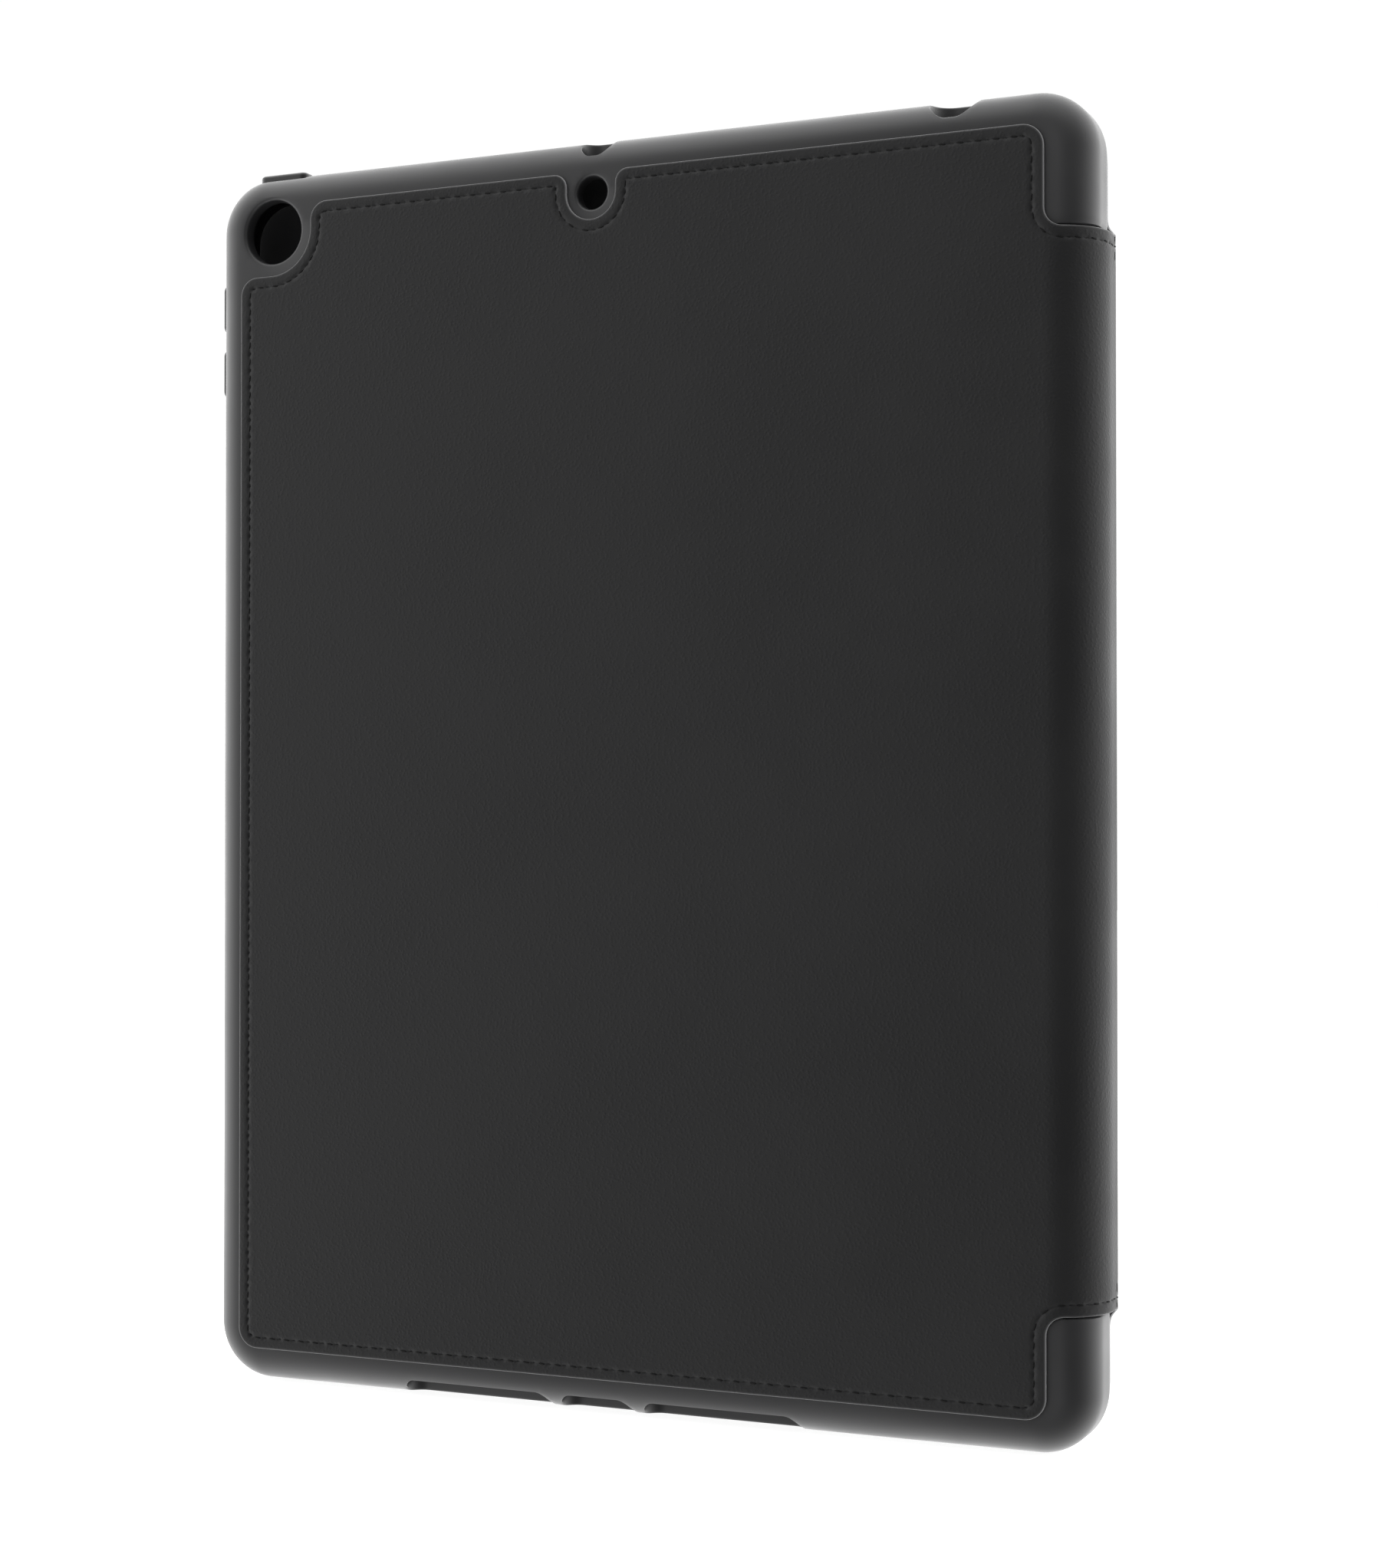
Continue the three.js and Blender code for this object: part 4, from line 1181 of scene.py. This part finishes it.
def build_skin(surface, path, chains, rows, height, extra, pocket=None):
    """rows is (inset, painted edge highlight, hole depth) from the underside in; height(row, along)."""
    last = len(rows) - 1
    seams = [Seam(chain) for chain in chains]
    rings = []
    for number, (inset, highlight_share, hole) in enumerate(rows):
        row = []
        for chain, seam in zip(chains, seams):
            flat = chain.points(inset)
            off = height(number, flat[:, 0]) - hole * seam.holes()
            row.append((surface.ring(path.solid(flat, off), highlight_share), flat, off))
        rings.append(row)
    for below, above in zip(rings, rings[1:]):
        for first, second in zip(below, above):
            surface.bridge(first[0], second[0], closed=False)
    over, over_flat, under, under_flat = [], [], [], []
    for k in range(len(chains)):
        after = (k + 1) % len(chains)
        near = [(row[k][0][-1], row[k][1][-1][1], row[k][2][-1]) for row in rings]
        far = [(row[after][0][0], row[after][1][0][1], row[after][2][0]) for row in rings]
        top = column(rings[-1][k][1][-1], rings[-1][after][1][0])
        low = column(rings[0][k][1][-1], rings[0][after][1][0])
        top_off, low_off = height(last, top[:, 0]), height(0, low[:, 0])
        top_ring = surface.ring(path.solid(top, top_off))
        low_ring = surface.ring(path.solid(low, low_off))
        over += rings[-1][k][0] + top_ring
        over_flat += [*rings[-1][k][1], *top]
        under += rings[0][k][0] + low_ring
        under_flat += [*rings[0][k][1], *low]
        loop = [e[0] for e in near] + top_ring + [f[0] for f in far[::-1]] + low_ring[::-1]
        flat = [(e[1], e[2]) for e in near] + list(zip(top[:, 1], top_off))
        flat += [(f[1], f[2]) for f in far[::-1]] + list(zip(low[::-1, 1], low_off))
        surface.fill([(loop, flat)])
    kept = extra[inside(extra, np.array(over_flat))]
    surface.fill([(over, over_flat)], kept, path.solid(kept, height(last, kept[:, 0])))
    loops = [(under, under_flat)]
    kept = extra[inside(extra, np.array(under_flat))]
    if pocket is not None:
        outline, depth = pocket
        flat = outline.points()
        mouth = path.solid(flat, height(0, flat[:, 0]))
        walls = surface.sweep([mouth, path.solid(flat, depth)])
        surface.fill([(walls[-1], flat)])
        loops.append((walls[0], flat))
        kept = kept[~inside(kept, flat)]
    surface.fill(loops, kept, path.solid(kept, height(0, kept[:, 0])))
    return seams


def grid(low, high, across_steps):
    """Pattern points on upright lines at the given places along the path."""
    return np.array([(along, up) for along in across_steps for up in rungs(low, high)])


# %% [markdown]
# Each stitch is its own short piece of thread. It comes up through one needle hole, lies in the
# furrow at a slight slant, and dives into the next, so its ends sink below the leather.

# %% Stitches
STITCH_SINK = 0.18
STITCH_DIVE = 0.5
STITCH_SLANT = 0.11
STITCH_RINGS = 7
STITCH_SIDES = 8
STITCH_TAPER = 0.4
LOOK_AHEAD = 0.05


def add_stitches(surface, path, seam, top):
    """Lays one stitch between each pair of needle holes. top(along) is the leather's height."""
    shares = np.linspace(-1, 1, STITCH_RINGS)
    turns = np.arange(STITCH_SIDES) / STITCH_SIDES * 2 * math.pi
    for number in range(seam.count):
        centre = (number + 0.5) * seam.pitch
        rings = []
        for share in shares:
            station = centre + share * STITCH_LENGTH / 2
            place = seam.at([station])[0]
            ahead = seam.at([station + LOOK_AHEAD])[0] - seam.at([station - LOOK_AHEAD])[0]
            ahead /= max(np.linalg.norm(ahead), 1e-9)
            side = np.array([ahead[1], -ahead[0]])
            place = place + side * STITCH_SLANT * share
            off = float(top(place[0])) - STITCH_SINK - STITCH_DIVE * share**4
            radius = THREAD_RADIUS * (1 - STITCH_TAPER * share**4)
            flat = place + side * np.cos(turns)[:, None] * radius
            rings.append(path.solid(flat, off + np.sin(turns) * radius))
        rows = surface.sweep(rings)
        surface.faces += [tuple(rows[0][::-1]), tuple(rows[-1])]


# %% [markdown]
# The skin of the back comes first. It has the notched outline from above, and the tab that turns
# round the side.

# %% The leather of the back and the spine
LEATHER_THICKNESS = 0.7
# Full strength of the highlight painted on the leather's cut edge.
EDGE_HIGHLIGHT = 1.0
SKIN_FIELD = 3
TURN_SPACING = 0.8
skin_rows = [
    # inset, height, painted highlight on the cut edge, hole depth
    (0.0, -LEATHER_THICKNESS, EDGE_HIGHLIGHT, 0.0),
    (0.0, -0.4, EDGE_HIGHLIGHT, 0.0),
    (0.05, -0.17, 0.6, 0.0),
    (0.2, -0.04, 0.08, 0.0),
    (0.5, 0.0, 0.0, 0.0),
    (1.3, 0.0, 0.0, 0.0),
    (1.75, -0.01, 0.0, 0.0),
    (2.05, -0.06, 0.0, 0.14),
    (2.3, -0.1, 0.0, 0.35),
    (2.55, -0.06, 0.0, 0.14),
    (2.85, -0.01, 0.0, 0.0),
    (3.4, 0.0, 0.0, 0.0),
]


def skin_height(number, along):
    return skin_rows[number][1] + 0 * along


wrap_chain = Outline(
    [
        (tab_end, spine.bottom, 0),
        (panel_end, spine.bottom, TAB_FILLET),
        (panel_end, back.bottom, PANEL_CORNER),
        (back.left, back.bottom, PANEL_CORNER),
        *notched_top,
        (panel_end, back.top, PANEL_CORNER),
        (panel_end, spine.top, TAB_FILLET),
        (tab_end, spine.top, 0),
    ],
    STITCH_PITCH / 6,
    closed=False,
)


def at_path(along, off=0.0):
    """The point, in metres, at a place along the leather's path."""
    x, y, _ = leather_path.solid([(along, 0.0)], off)[0]
    return Vector((x, y, 0)) * MM


def finish_piece(surface, name, material, slot, replaced, ends, **how):
    """Builds a piece and hides those it replaces. It is attached to ends if ends is a body's name, else its place
    is baked in.
    """
    thing = surface.build(name, material, **how)
    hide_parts(*replaced)
    if isinstance(ends, str):
        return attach(thing, ends)
    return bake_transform(thing)


turn_ends = ("shell", "spine", at_path(turn.x), at_path(turn.x + SPINE_ROUND * QUARTER))


def build_wrap():
    surface = Surface()
    bend = np.arange(turn.x - 1, tab_end - TURN_SPACING / 2, TURN_SPACING)
    extra = grid(spine.bottom + SKIN_FIELD, spine.top - SKIN_FIELD, bend)
    rows = [(inset, highlight_share, hole) for inset, _, highlight_share, hole in skin_rows]
    seams = build_skin(surface, leather_path, [wrap_chain], rows, skin_height, extra)
    replaced = ["back_leather", "back_crease_leather", "spine_leather"]
    finish_piece(surface, "back_and_spine_leather", leather, "leather", replaced, turn_ends)
    stitches = Surface()
    add_stitches(stitches, leather_path, seams[0], lambda along: 0.0)
    replaced = [
        "back_seam_thread",
        "back_crease_lower_thread",
        "back_crease_upper_thread",
        "spine_lower_thread",
        "spine_upper_thread",
    ]
    name = "back_and_spine_stitches"
    finish_piece(stitches, name, thread, "thread", replaced, turn_ends, weld=0)


build_wrap()

# %% [markdown]
# ## The cover
# The cover is sewn round three stiff boards. The leather lies high over each board and lower
# round it, where it meets the lining, and it is pressed into a groove at each fold so that the
# panels can fold against each other. Each piece below starts at a fold and carries on over one
# panel.

# %% Sizes of the cover
MARGIN_SINK = 0.46
COVER_THICKNESS = 2.0
COVER_CORNER = 12.5
FOLD_GROOVE = 0.8
FOLD_FLAT = 2.1
FOLD_RAMP = 4.3
BOARD_GAP = 0.1
BOARD_CORNER = 4.0
BOARD_SPACING = 4.0
COVER_FIELD = 5
CREASE_SPACING = 0.4
POINTS_AFTER_FOLD = np.arange(0.3, 8.6, 0.5)
POINTS_BEFORE_FOLD = np.arange(0.3, 3, 0.4)
cover_top, cover_bottom = cover.top, cover.bottom
middle_cover = node_box("middle_panel_leather")
outer_cover = node_box("outer_panel_leather")
fold_places = [
    on_cover(joints["inner_fold"]["pos_m"][0] / MM),
    on_cover(joints["outer_fold"]["pos_m"][0] / MM),
]


def fold_height(along):
    """The height of the field: 0 over the boards, lower in the groove of each fold."""
    height = np.zeros_like(along)
    for fold in fold_places:
        away = np.abs(along - fold)
        ramp = soft_step((away - FOLD_FLAT) / (FOLD_RAMP - FOLD_FLAT))
        height = np.minimum(height, -FOLD_GROOVE * (1 - ramp))
    return height


CREASE_BLEND = (cover_along - 2.75, cover_along - 0.75)
cover_rows = [
    # inset, height by the crease, height on the cover, painted highlight on the cut edge, hole depth
    (0.0, -0.7, -COVER_THICKNESS, 0.0, 0.0),
    (0.0, -0.6, -1.3, 0.0, 0.0),
    (0.0, -0.5, -1.2, 0.9, 0.0),
    (0.0, -0.4, -0.9, 1.0, 0.0),
    (0.05, -0.17, -0.66, 0.6, 0.0),
    (0.2, -0.04, -0.52, 0.08, 0.0),
    (0.5, 0.0, -MARGIN_SINK, 0.0, 0.0),
    (1.3, 0.0, -MARGIN_SINK, 0.0, 0.0),
    (1.75, -0.01, -MARGIN_SINK - 0.01, 0.0, 0.0),
    (2.05, -0.06, -MARGIN_SINK - 0.06, 0.0, 0.14),
    (2.3, -0.1, -MARGIN_SINK - 0.1, 0.0, 0.35),
    (2.55, -0.06, -MARGIN_SINK - 0.06, 0.0, 0.14),
    (2.85, -0.01, -MARGIN_SINK - 0.01, 0.0, 0.0),
    (3.3, 0.0, -MARGIN_SINK + 0.02, 0.0, 0.0),
    (3.8, 0.0, -0.3, 0.0, 0.0),
    (4.4, 0.0, -0.08, 0.0, 0.0),
    (5.0, 0.0, 0.0, 0.0, 0.0),
]
SEAM_SHOULDER = 7


def cover_height(number, along):
    """The height of a row of the cover's leather, with the crease and the folds in it."""
    _, by_crease, on_board, _, _ = cover_rows[number]
    start, end = CREASE_BLEND
    share = soft_step((along - start) / (end - start))
    height = by_crease + (on_board - by_crease) * share
    if number == 0:
        return height
    return np.minimum(height, fold_height(along) + height / 2)


ear = on_cover(cover.right)
inner_end = on_cover(cover.left)
middle_end = on_cover(middle_cover.left)
outer_edge = on_cover(outer_cover.left)
COVER_SPACING = STITCH_PITCH / 5


def chain(spacing, *corners):
    """An open edge of the pattern through corners of (along, up, radius)."""
    return Outline(corners, spacing, closed=False)


def strip(start, end, low, high, spacing):
    """The two long edges of a strip that carries on at both ends."""
    return [
        chain(spacing, (start, high, 0), (end, high, 0)),
        chain(spacing, (end, low, 0), (start, low, 0)),
    ]


def eared(start, ear, end, fillet, spacing):
    """The two edges of a panel that starts as the narrow spine and widens at its ears."""
    top = [(start, spine.top, 0), (ear, spine.top, fillet), (ear, cover_top, COVER_CORNER)]
    low = [(ear, cover_bottom, COVER_CORNER), (ear, spine.bottom, fillet), (start, spine.bottom, 0)]
    return [
        chain(spacing, *top, (end, cover_top, 0)),
        chain(spacing, (end, cover_bottom, 0), *low),
    ]


def free_end(start, end, spacing):
    """The edge of the last panel, round its two free corners."""
    corners = [(end, cover_top, COVER_CORNER), (end, cover_bottom, COVER_CORNER)]
    return [chain(spacing, (start, cover_top, 0), *corners, (start, cover_bottom, 0))]


inner_chains = eared(tab_end, ear, inner_end, TAB_FILLET, COVER_SPACING)
middle_chains = strip(inner_end, middle_end, cover_bottom, cover_top, COVER_SPACING)
outer_chains = free_end(middle_end, outer_edge, COVER_SPACING)


def board_pocket(node):
    """The room for a panel's board in the underside of its leather."""
    box = node_box(node)
    outline = rectangle(
        on_cover(box.right) - BOARD_GAP,
        on_cover(box.left) + BOARD_GAP,
        box.bottom - BOARD_GAP,
        box.top + BOARD_GAP,
        BOARD_CORNER,
        BOARD_SPACING,
    )
    return outline, box.front - cover.front + BOARD_GAP


print(f"the folds are {fold_places[0]:.1f} and {fold_places[1]:.1f} mm along the path")


# %% The leather of the three panels


def build_panel(panel, chains, folds, pieces, ends, bend):
    """One panel's leather and stitches. folds are the imported pieces its leather replaces; bend the places that
    need more points.
    """
    surface = Surface()
    extra = grid(cover_bottom + COVER_FIELD, cover_top - COVER_FIELD, bend)
    rows = [(inset, highlight_share, hole) for inset, _, _, highlight_share, hole in cover_rows]
    pocket = board_pocket(panel + "_board")
    seams = build_skin(surface, leather_path, chains, rows, cover_height, extra, pocket)
    finish_piece(surface, panel + "_skin", leather, "leather", folds, ends)
    stitches = Surface()
    for seam in seams:
        add_stitches(stitches, leather_path, seam, lambda along: cover_height(SEAM_SHOULDER, along))
    finish_piece(stitches, panel + "_stitches", thread, "thread", pieces, ends, weld=0)


crease_ends = ("spine", "inner_panel", at_path(tab_end), at_path(cover_along))
inner_fold_ends = (
    "inner_panel",
    "middle_panel",
    at_path(inner_end),
    at_path(2 * fold_places[0] - inner_end),
)
outer_fold_ends = (
    "middle_panel",
    "outer_panel",
    at_path(middle_end),
    at_path(2 * fold_places[1] - middle_end),
)
crease_bend = np.concatenate(
    [
        np.arange(tab_end + CREASE_SPACING, cover_along + 0.6, CREASE_SPACING),
        inner_end - POINTS_BEFORE_FOLD,
    ]
)


def fold_bend(start, end):
    """Places along the path that the grooves at a panel's two sides need points at."""
    return np.concatenate([start + POINTS_AFTER_FOLD, end - POINTS_BEFORE_FOLD])


build_panel(
    "inner_panel",
    inner_chains,
    ["front_crease_leather", "inner_panel_leather"],
    ["inner_panel_lower_thread", "inner_panel_upper_thread"],
    crease_ends,
    crease_bend,
)
build_panel(
    "middle_panel",
    middle_chains,
    ["inner_fold_web", "middle_panel_leather"],
    ["middle_panel_lower_thread", "middle_panel_upper_thread"],
    inner_fold_ends,
    fold_bend(inner_end, middle_end),
)
build_panel(
    "outer_panel",
    outer_chains,
    ["outer_fold_web", "outer_panel_leather"],
    ["outer_panel_edge_thread"],
    outer_fold_ends,
    fold_bend(middle_end, outer_edge - 8),
)

# %% [markdown]
# ## The lining
# The inside of the cover and of the spine is a soft brushed cloth with a microfibre nap. It is
# thinner than the leather, and it turns the inner corner behind the front edge in a tight curve,
# so it has a path of its own. Its edge is trimmed flush with the leather's.

# %% The lining's path and pieces
LINING_THICKNESS = 0.42
LINING_BEHIND = 0.35
LINING_CORNER = 0.8
LINING_EDGE = 0.12
LINING_FILLET = 0.3
LINING_SPACING = 1.0
CORNER_POINTS_END = 94.0
LINING_FOLD_POINTS = np.arange(0.4, 6.4, 0.5)
spine_lining = node_box("spine_lining")
back_lining = node_box("back_crease_lining")
panel_lining = node_box("inner_panel_lining")
lining_round = spine_lining.right - LINING_BEHIND - turn.x
lining_run = panel_lining.back - LINING_CORNER - turn.y
lining_path = Path(
    turn.y - lining_round,
    [
        (turn.x, 0),
        (lining_round * QUARTER, lining_round),
        (lining_run, 0),
        (LINING_CORNER * QUARTER, LINING_CORNER),
        (1, 0),
    ],
)
lining_cover = lining_path.parts[-1][0] + turn.x + lining_round - LINING_CORNER
lining_seam = lining_path.parts[3][0]


def lining_at(x):
    """How far along the lining's path a place on the cover is."""
    return lining_cover - x


lining_rows = [
    # inset, height off the lining's face towards the leather
    (LINING_EDGE, LINING_THICKNESS),
    (0.0, LINING_THICKNESS - LINING_EDGE),
    (0.0, LINING_EDGE),
    (LINING_EDGE / 3, LINING_EDGE / 3),
    (LINING_EDGE, 0.0),
]


def build_lining(name, chains, replaced, ends, bend, low, high):
    """A sheet of lining. Its face looks the other way from the leather's."""
    surface = Surface()
    extra = grid(low, high, bend)
    rows = [(inset, 0.0, 0.0) for inset, _ in lining_rows]

    def height(number, along):
        return lining_rows[number][1] + 0 * along

    build_skin(surface, lining_path, chains, rows, height, extra)
    finish_piece(surface, name, lining, "lining", replaced, ends)


lining_start = back_lining.left
lining_ear = lining_at(panel_lining.right)
inner_stop = lining_at(panel_lining.left)
middle_stop = lining_at(middle_cover.left)
outer_stop = lining_at(outer_cover.left)
print(f"the lining turns its corner {lining_seam:.1f} to {lining_path.parts[-1][0]:.1f} mm along")
lining_bend = np.arange(lining_seam + 0.2, lining_at(CORNER_POINTS_END), 0.25)

# %% Build the lining
build_lining(
    "spine_lining_cloth",
    strip(lining_start, lining_seam, spine.bottom, spine.top, LINING_SPACING),
    ["back_crease_lining", "spine_lining"],
    turn_ends,
    np.arange(lining_start + TURN_SPACING, lining_seam - 0.3, TURN_SPACING),
    spine.bottom,
    spine.top,
)
build_lining(
    "inner_lining_cloth",
    eared(lining_seam, lining_ear, inner_stop, LINING_FILLET, LINING_SPACING),
    ["front_crease_lining", "inner_panel_lining"],
    crease_ends,
    np.concatenate([lining_bend, [inner_stop - 1]]),
    cover_bottom,
    cover_top,
)
build_lining(
    "middle_lining_cloth",
    strip(inner_stop, middle_stop, cover_bottom, cover_top, LINING_SPACING),
    ["middle_panel_lining"],
    inner_fold_ends,
    inner_stop + LINING_FOLD_POINTS,
    cover_bottom,
    cover_top,
)
build_lining(
    "outer_lining_cloth",
    free_end(middle_stop, outer_stop, LINING_SPACING),
    ["outer_panel_lining"],
    outer_fold_ends,
    middle_stop + LINING_FOLD_POINTS,
    cover_bottom,
    cover_top,
)

# %% [markdown]
# ## The buttons
# The power button stands in a recess on the top edge, and the two volume buttons in one on the
# side. Each is a pad with round ends, a soft edge and a slightly domed face, and its sides run
# down through its window in the wall.

# %% Build the button pads
PAD_EDGE = 0.7
PAD_DOME = 0.25
PAD_RINGS = 5
PAD_SPACING = 0.35
DOME_ROWS = [(0.5, 0.45), (1.0, 0.12)]


def build_pad(edge, node, body):
    box = node_box(node)
    on_top = edge == "top"
    low, high = (box.left, box.right) if on_top else (box.bottom, box.top)
    outline = rectangle(low, high, box.back, box.front, PAD_ROUND, PAD_SPACING)
    length = (box.top - box.bottom) if on_top else (box.right - box.left)

    def place(flat, sink):
        if on_top:
            return np.column_stack([flat, np.full(len(flat), box.top - sink)])
        return np.column_stack([np.full(len(flat), box.left + sink), flat[:, 1], flat[:, 0]])

    surface = Surface()
    rings = [place(outline.points(0.0), length), place(outline.points(0.0), length / 2)]
    for i in range(PAD_RINGS + 1):
        angle = i / PAD_RINGS * QUARTER
        inset = PAD_EDGE * (1 - math.cos(angle))
        sink = PAD_DOME + PAD_EDGE * (1 - math.sin(angle))
        rings.append(place(outline.points(inset), sink))
    for inset, share in DOME_ROWS:
        rings.append(place(outline.points(PAD_EDGE + inset), PAD_DOME * share))
    rows = surface.sweep(rings)
    surface.fill([(rows[0], outline.points(0.0))])
    surface.fill([(rows[-1], outline.points(PAD_EDGE + DOME_ROWS[-1][0]))])
    thing = surface.build(node + "_cap", moulded)
    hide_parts(node)
    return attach(thing, body)


build_pad("top", "power_button_pad", "power_button")
build_pad("left", "volume_up_button_pad", "volume_up_button")
build_pad("left", "volume_down_button_pad", "volume_down_button")

# %% [markdown]
# ## What lies inside
# The boards, the magnets and the steel strip lie between the leather and the lining. Their plain
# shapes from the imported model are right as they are, so they only get a finish and soft edges.

# %% Finish the hidden pieces
BOARD_BEVEL = 0.1
BEVEL_DEGREES = 50


def finish_node(name, material):
    """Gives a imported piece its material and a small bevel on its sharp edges."""
    thing = frame["nodes"][name]
    thing.data.materials.clear()
    thing.data.materials.append(material)
    bevel = thing.modifiers.new("soft edges", "BEVEL")
    bevel.width = BOARD_BEVEL * MM
    bevel.segments = 2
    bevel.limit_method = "ANGLE"
    bevel.angle_limit = math.radians(BEVEL_DEGREES)


boards = ["back_board", "spine_board"]
boards += [panel + "_panel_board" for panel in ("inner", "middle", "outer")]
for name in boards:
    finish_node(name, board)
for name in ("lower_magnet", "sleep_magnet", "upper_magnet"):
    finish_node(name, magnet_metal)
finish_node("stand_steel_strip", steel)
print("plain pieces with a finish:", len(boards) + 4)

# %% [markdown]
# ## Floor, light and camera
# The case stands on a pale floor before a plain white backdrop. Dark, satin things are shown by
# what they reflect. Here the light is strong beyond the case, a little to its left, and falls off
# smoothly towards the camera's side. So every rounded edge that turns away from us gets a bright
# rim, while the flat leather that faces us stays dark. `LIGHT_SIDE` points at the brightest part.

# %% Floor and surroundings
FLOOR_SIZE = 6.0
FLOOR_DROP = -0.0002
FRONT_LIGHT = 0.22
BACK_LIGHT = 3.6
BRIGHT_FROM = -1.0
BRIGHT_TO = 0.35
LIGHT_SIDE = (-0.4, 0.92, 0.0)
BACKDROP_WHITE = 1.02
FLOOR_GLOW = 0.93
FLOOR_GREY = (0.25, 0.25, 0.25, 1)


def only_for_camera(tree, seen, otherwise):
    """Mixes two shaders: the first where the camera looks straight at it, the other elsewhere."""
    path = tree.nodes.new("ShaderNodeLightPath")
    pick = tree.nodes.new("ShaderNodeMixShader")
    tree.links.new(path.outputs["Is Camera Ray"], pick.inputs["Fac"])
    tree.links.new(otherwise, pick.inputs[1])
    tree.links.new(seen, pick.inputs[2])
    return pick.outputs["Shader"]


def make_floor():
    """A pale floor. It is clear to reflected light, so it doesn't brighten the lower edges."""
    bpy.ops.mesh.primitive_plane_add(size=FLOOR_SIZE, location=(0, 0, FLOOR_DROP))
    floor = bpy.context.object
    floor.name = "floor"
    material = bpy.data.materials.new("pale_floor")
    material.use_nodes = True
    tree = material.node_tree
    tree.nodes.clear()
    out = tree.nodes.new("ShaderNodeOutputMaterial")
    shader = add(tree, "ShaderNodeBsdfPrincipled", Roughness=0.8, Emission_Strength=FLOOR_GLOW)
    shader.inputs["Base Color"].default_value = FLOOR_GREY
    shader.inputs["Emission Color"].default_value = (1, 1, 1, 1)
    clear = tree.nodes.new("ShaderNodeBsdfTransparent")
    surface = only_for_camera(tree, shader.outputs["BSDF"], clear.outputs["BSDF"])
    tree.links.new(surface, out.inputs["Surface"])
    floor.data.materials.append(material)


def make_world():
    """Bright behind the case and dark towards the camera, with a plain white backdrop."""
    world = bpy.data.worlds.new("studio")
    bpy.context.scene.world = world
    world.use_nodes = True
    tree = world.node_tree
    tree.nodes.clear()
    out = tree.nodes.new("ShaderNodeOutputWorld")
    place = add(tree, "ShaderNodeTexCoord")
    away = add(tree, "ShaderNodeVectorMath", operation="DOT_PRODUCT")
    away.inputs[1].default_value = LIGHT_SIDE
    ramp = add(tree, "ShaderNodeMapRange", interpolation_type="SMOOTHSTEP")
    ramp.inputs["From Min"].default_value = BRIGHT_FROM
    ramp.inputs["From Max"].default_value = BRIGHT_TO
    ramp.inputs["To Min"].default_value = FRONT_LIGHT
    ramp.inputs["To Max"].default_value = BACK_LIGHT
    around = tree.nodes.new("ShaderNodeBackground")
    white = add(tree, "ShaderNodeBackground", Strength=BACKDROP_WHITE)
    white.inputs["Color"].default_value = (1, 1, 1, 1)
    link = tree.links.new
    link(place.outputs["Generated"], away.inputs[0])
    link(away.outputs["Value"], ramp.inputs["Value"])
    link(ramp.outputs["Result"], around.inputs["Strength"])
    backdrop = only_for_camera(tree, white.outputs["Background"], around.outputs["Background"])
    link(backdrop, out.inputs["Surface"])
    bpy.context.scene.view_settings.view_transform = "Standard"


make_floor()
make_world()

# %% [markdown]
# The camera stands behind the case and a little to the spine's side, level with its middle, at a
# distance of about half a metre.

# %% Camera and lamps
FOCAL_LENGTH = 60.8
CAMERA_PLACE = (0.226, -0.4884, 0.1194)
CAMERA_TURN = math.radians(23.67)
CAMERA_TILT = math.radians(90.8)


def make_camera():
    camera_data = bpy.data.cameras.new("camera")
    camera_data.lens = FOCAL_LENGTH
    camera_data.sensor_fit = "AUTO"
    camera_data.sensor_width = 36.0
    camera_data.clip_start = 0.01
    thing = bpy.data.objects.new("camera", camera_data)
    bpy.context.scene.collection.objects.link(thing)
    thing.location = CAMERA_PLACE
    thing.rotation_euler = (CAMERA_TILT, 0, CAMERA_TURN)
    bpy.context.scene.camera = thing


def make_lamp(name, place, target, size, power):
    """A soft square lamp at place, turned towards target, all in metres."""
    lamp = bpy.data.lights.new(name, "AREA")
    lamp.shape = "RECTANGLE"
    lamp.size, lamp.size_y = size
    lamp.energy = power
    thing = bpy.data.objects.new(name, lamp)
    bpy.context.scene.collection.objects.link(thing)
    thing.location = place
    ahead = Vector(target) - Vector(place)
    thing.rotation_euler = ahead.to_track_quat("-Z", "Y").to_euler()


make_camera()
make_lamp("top_lamp", (0.0, -0.5, 1.1), (0, 0, 0.15), (1.2, 0.6), 1.5)
print("camera", [round(c, 3) for c in bpy.context.scene.camera.location])
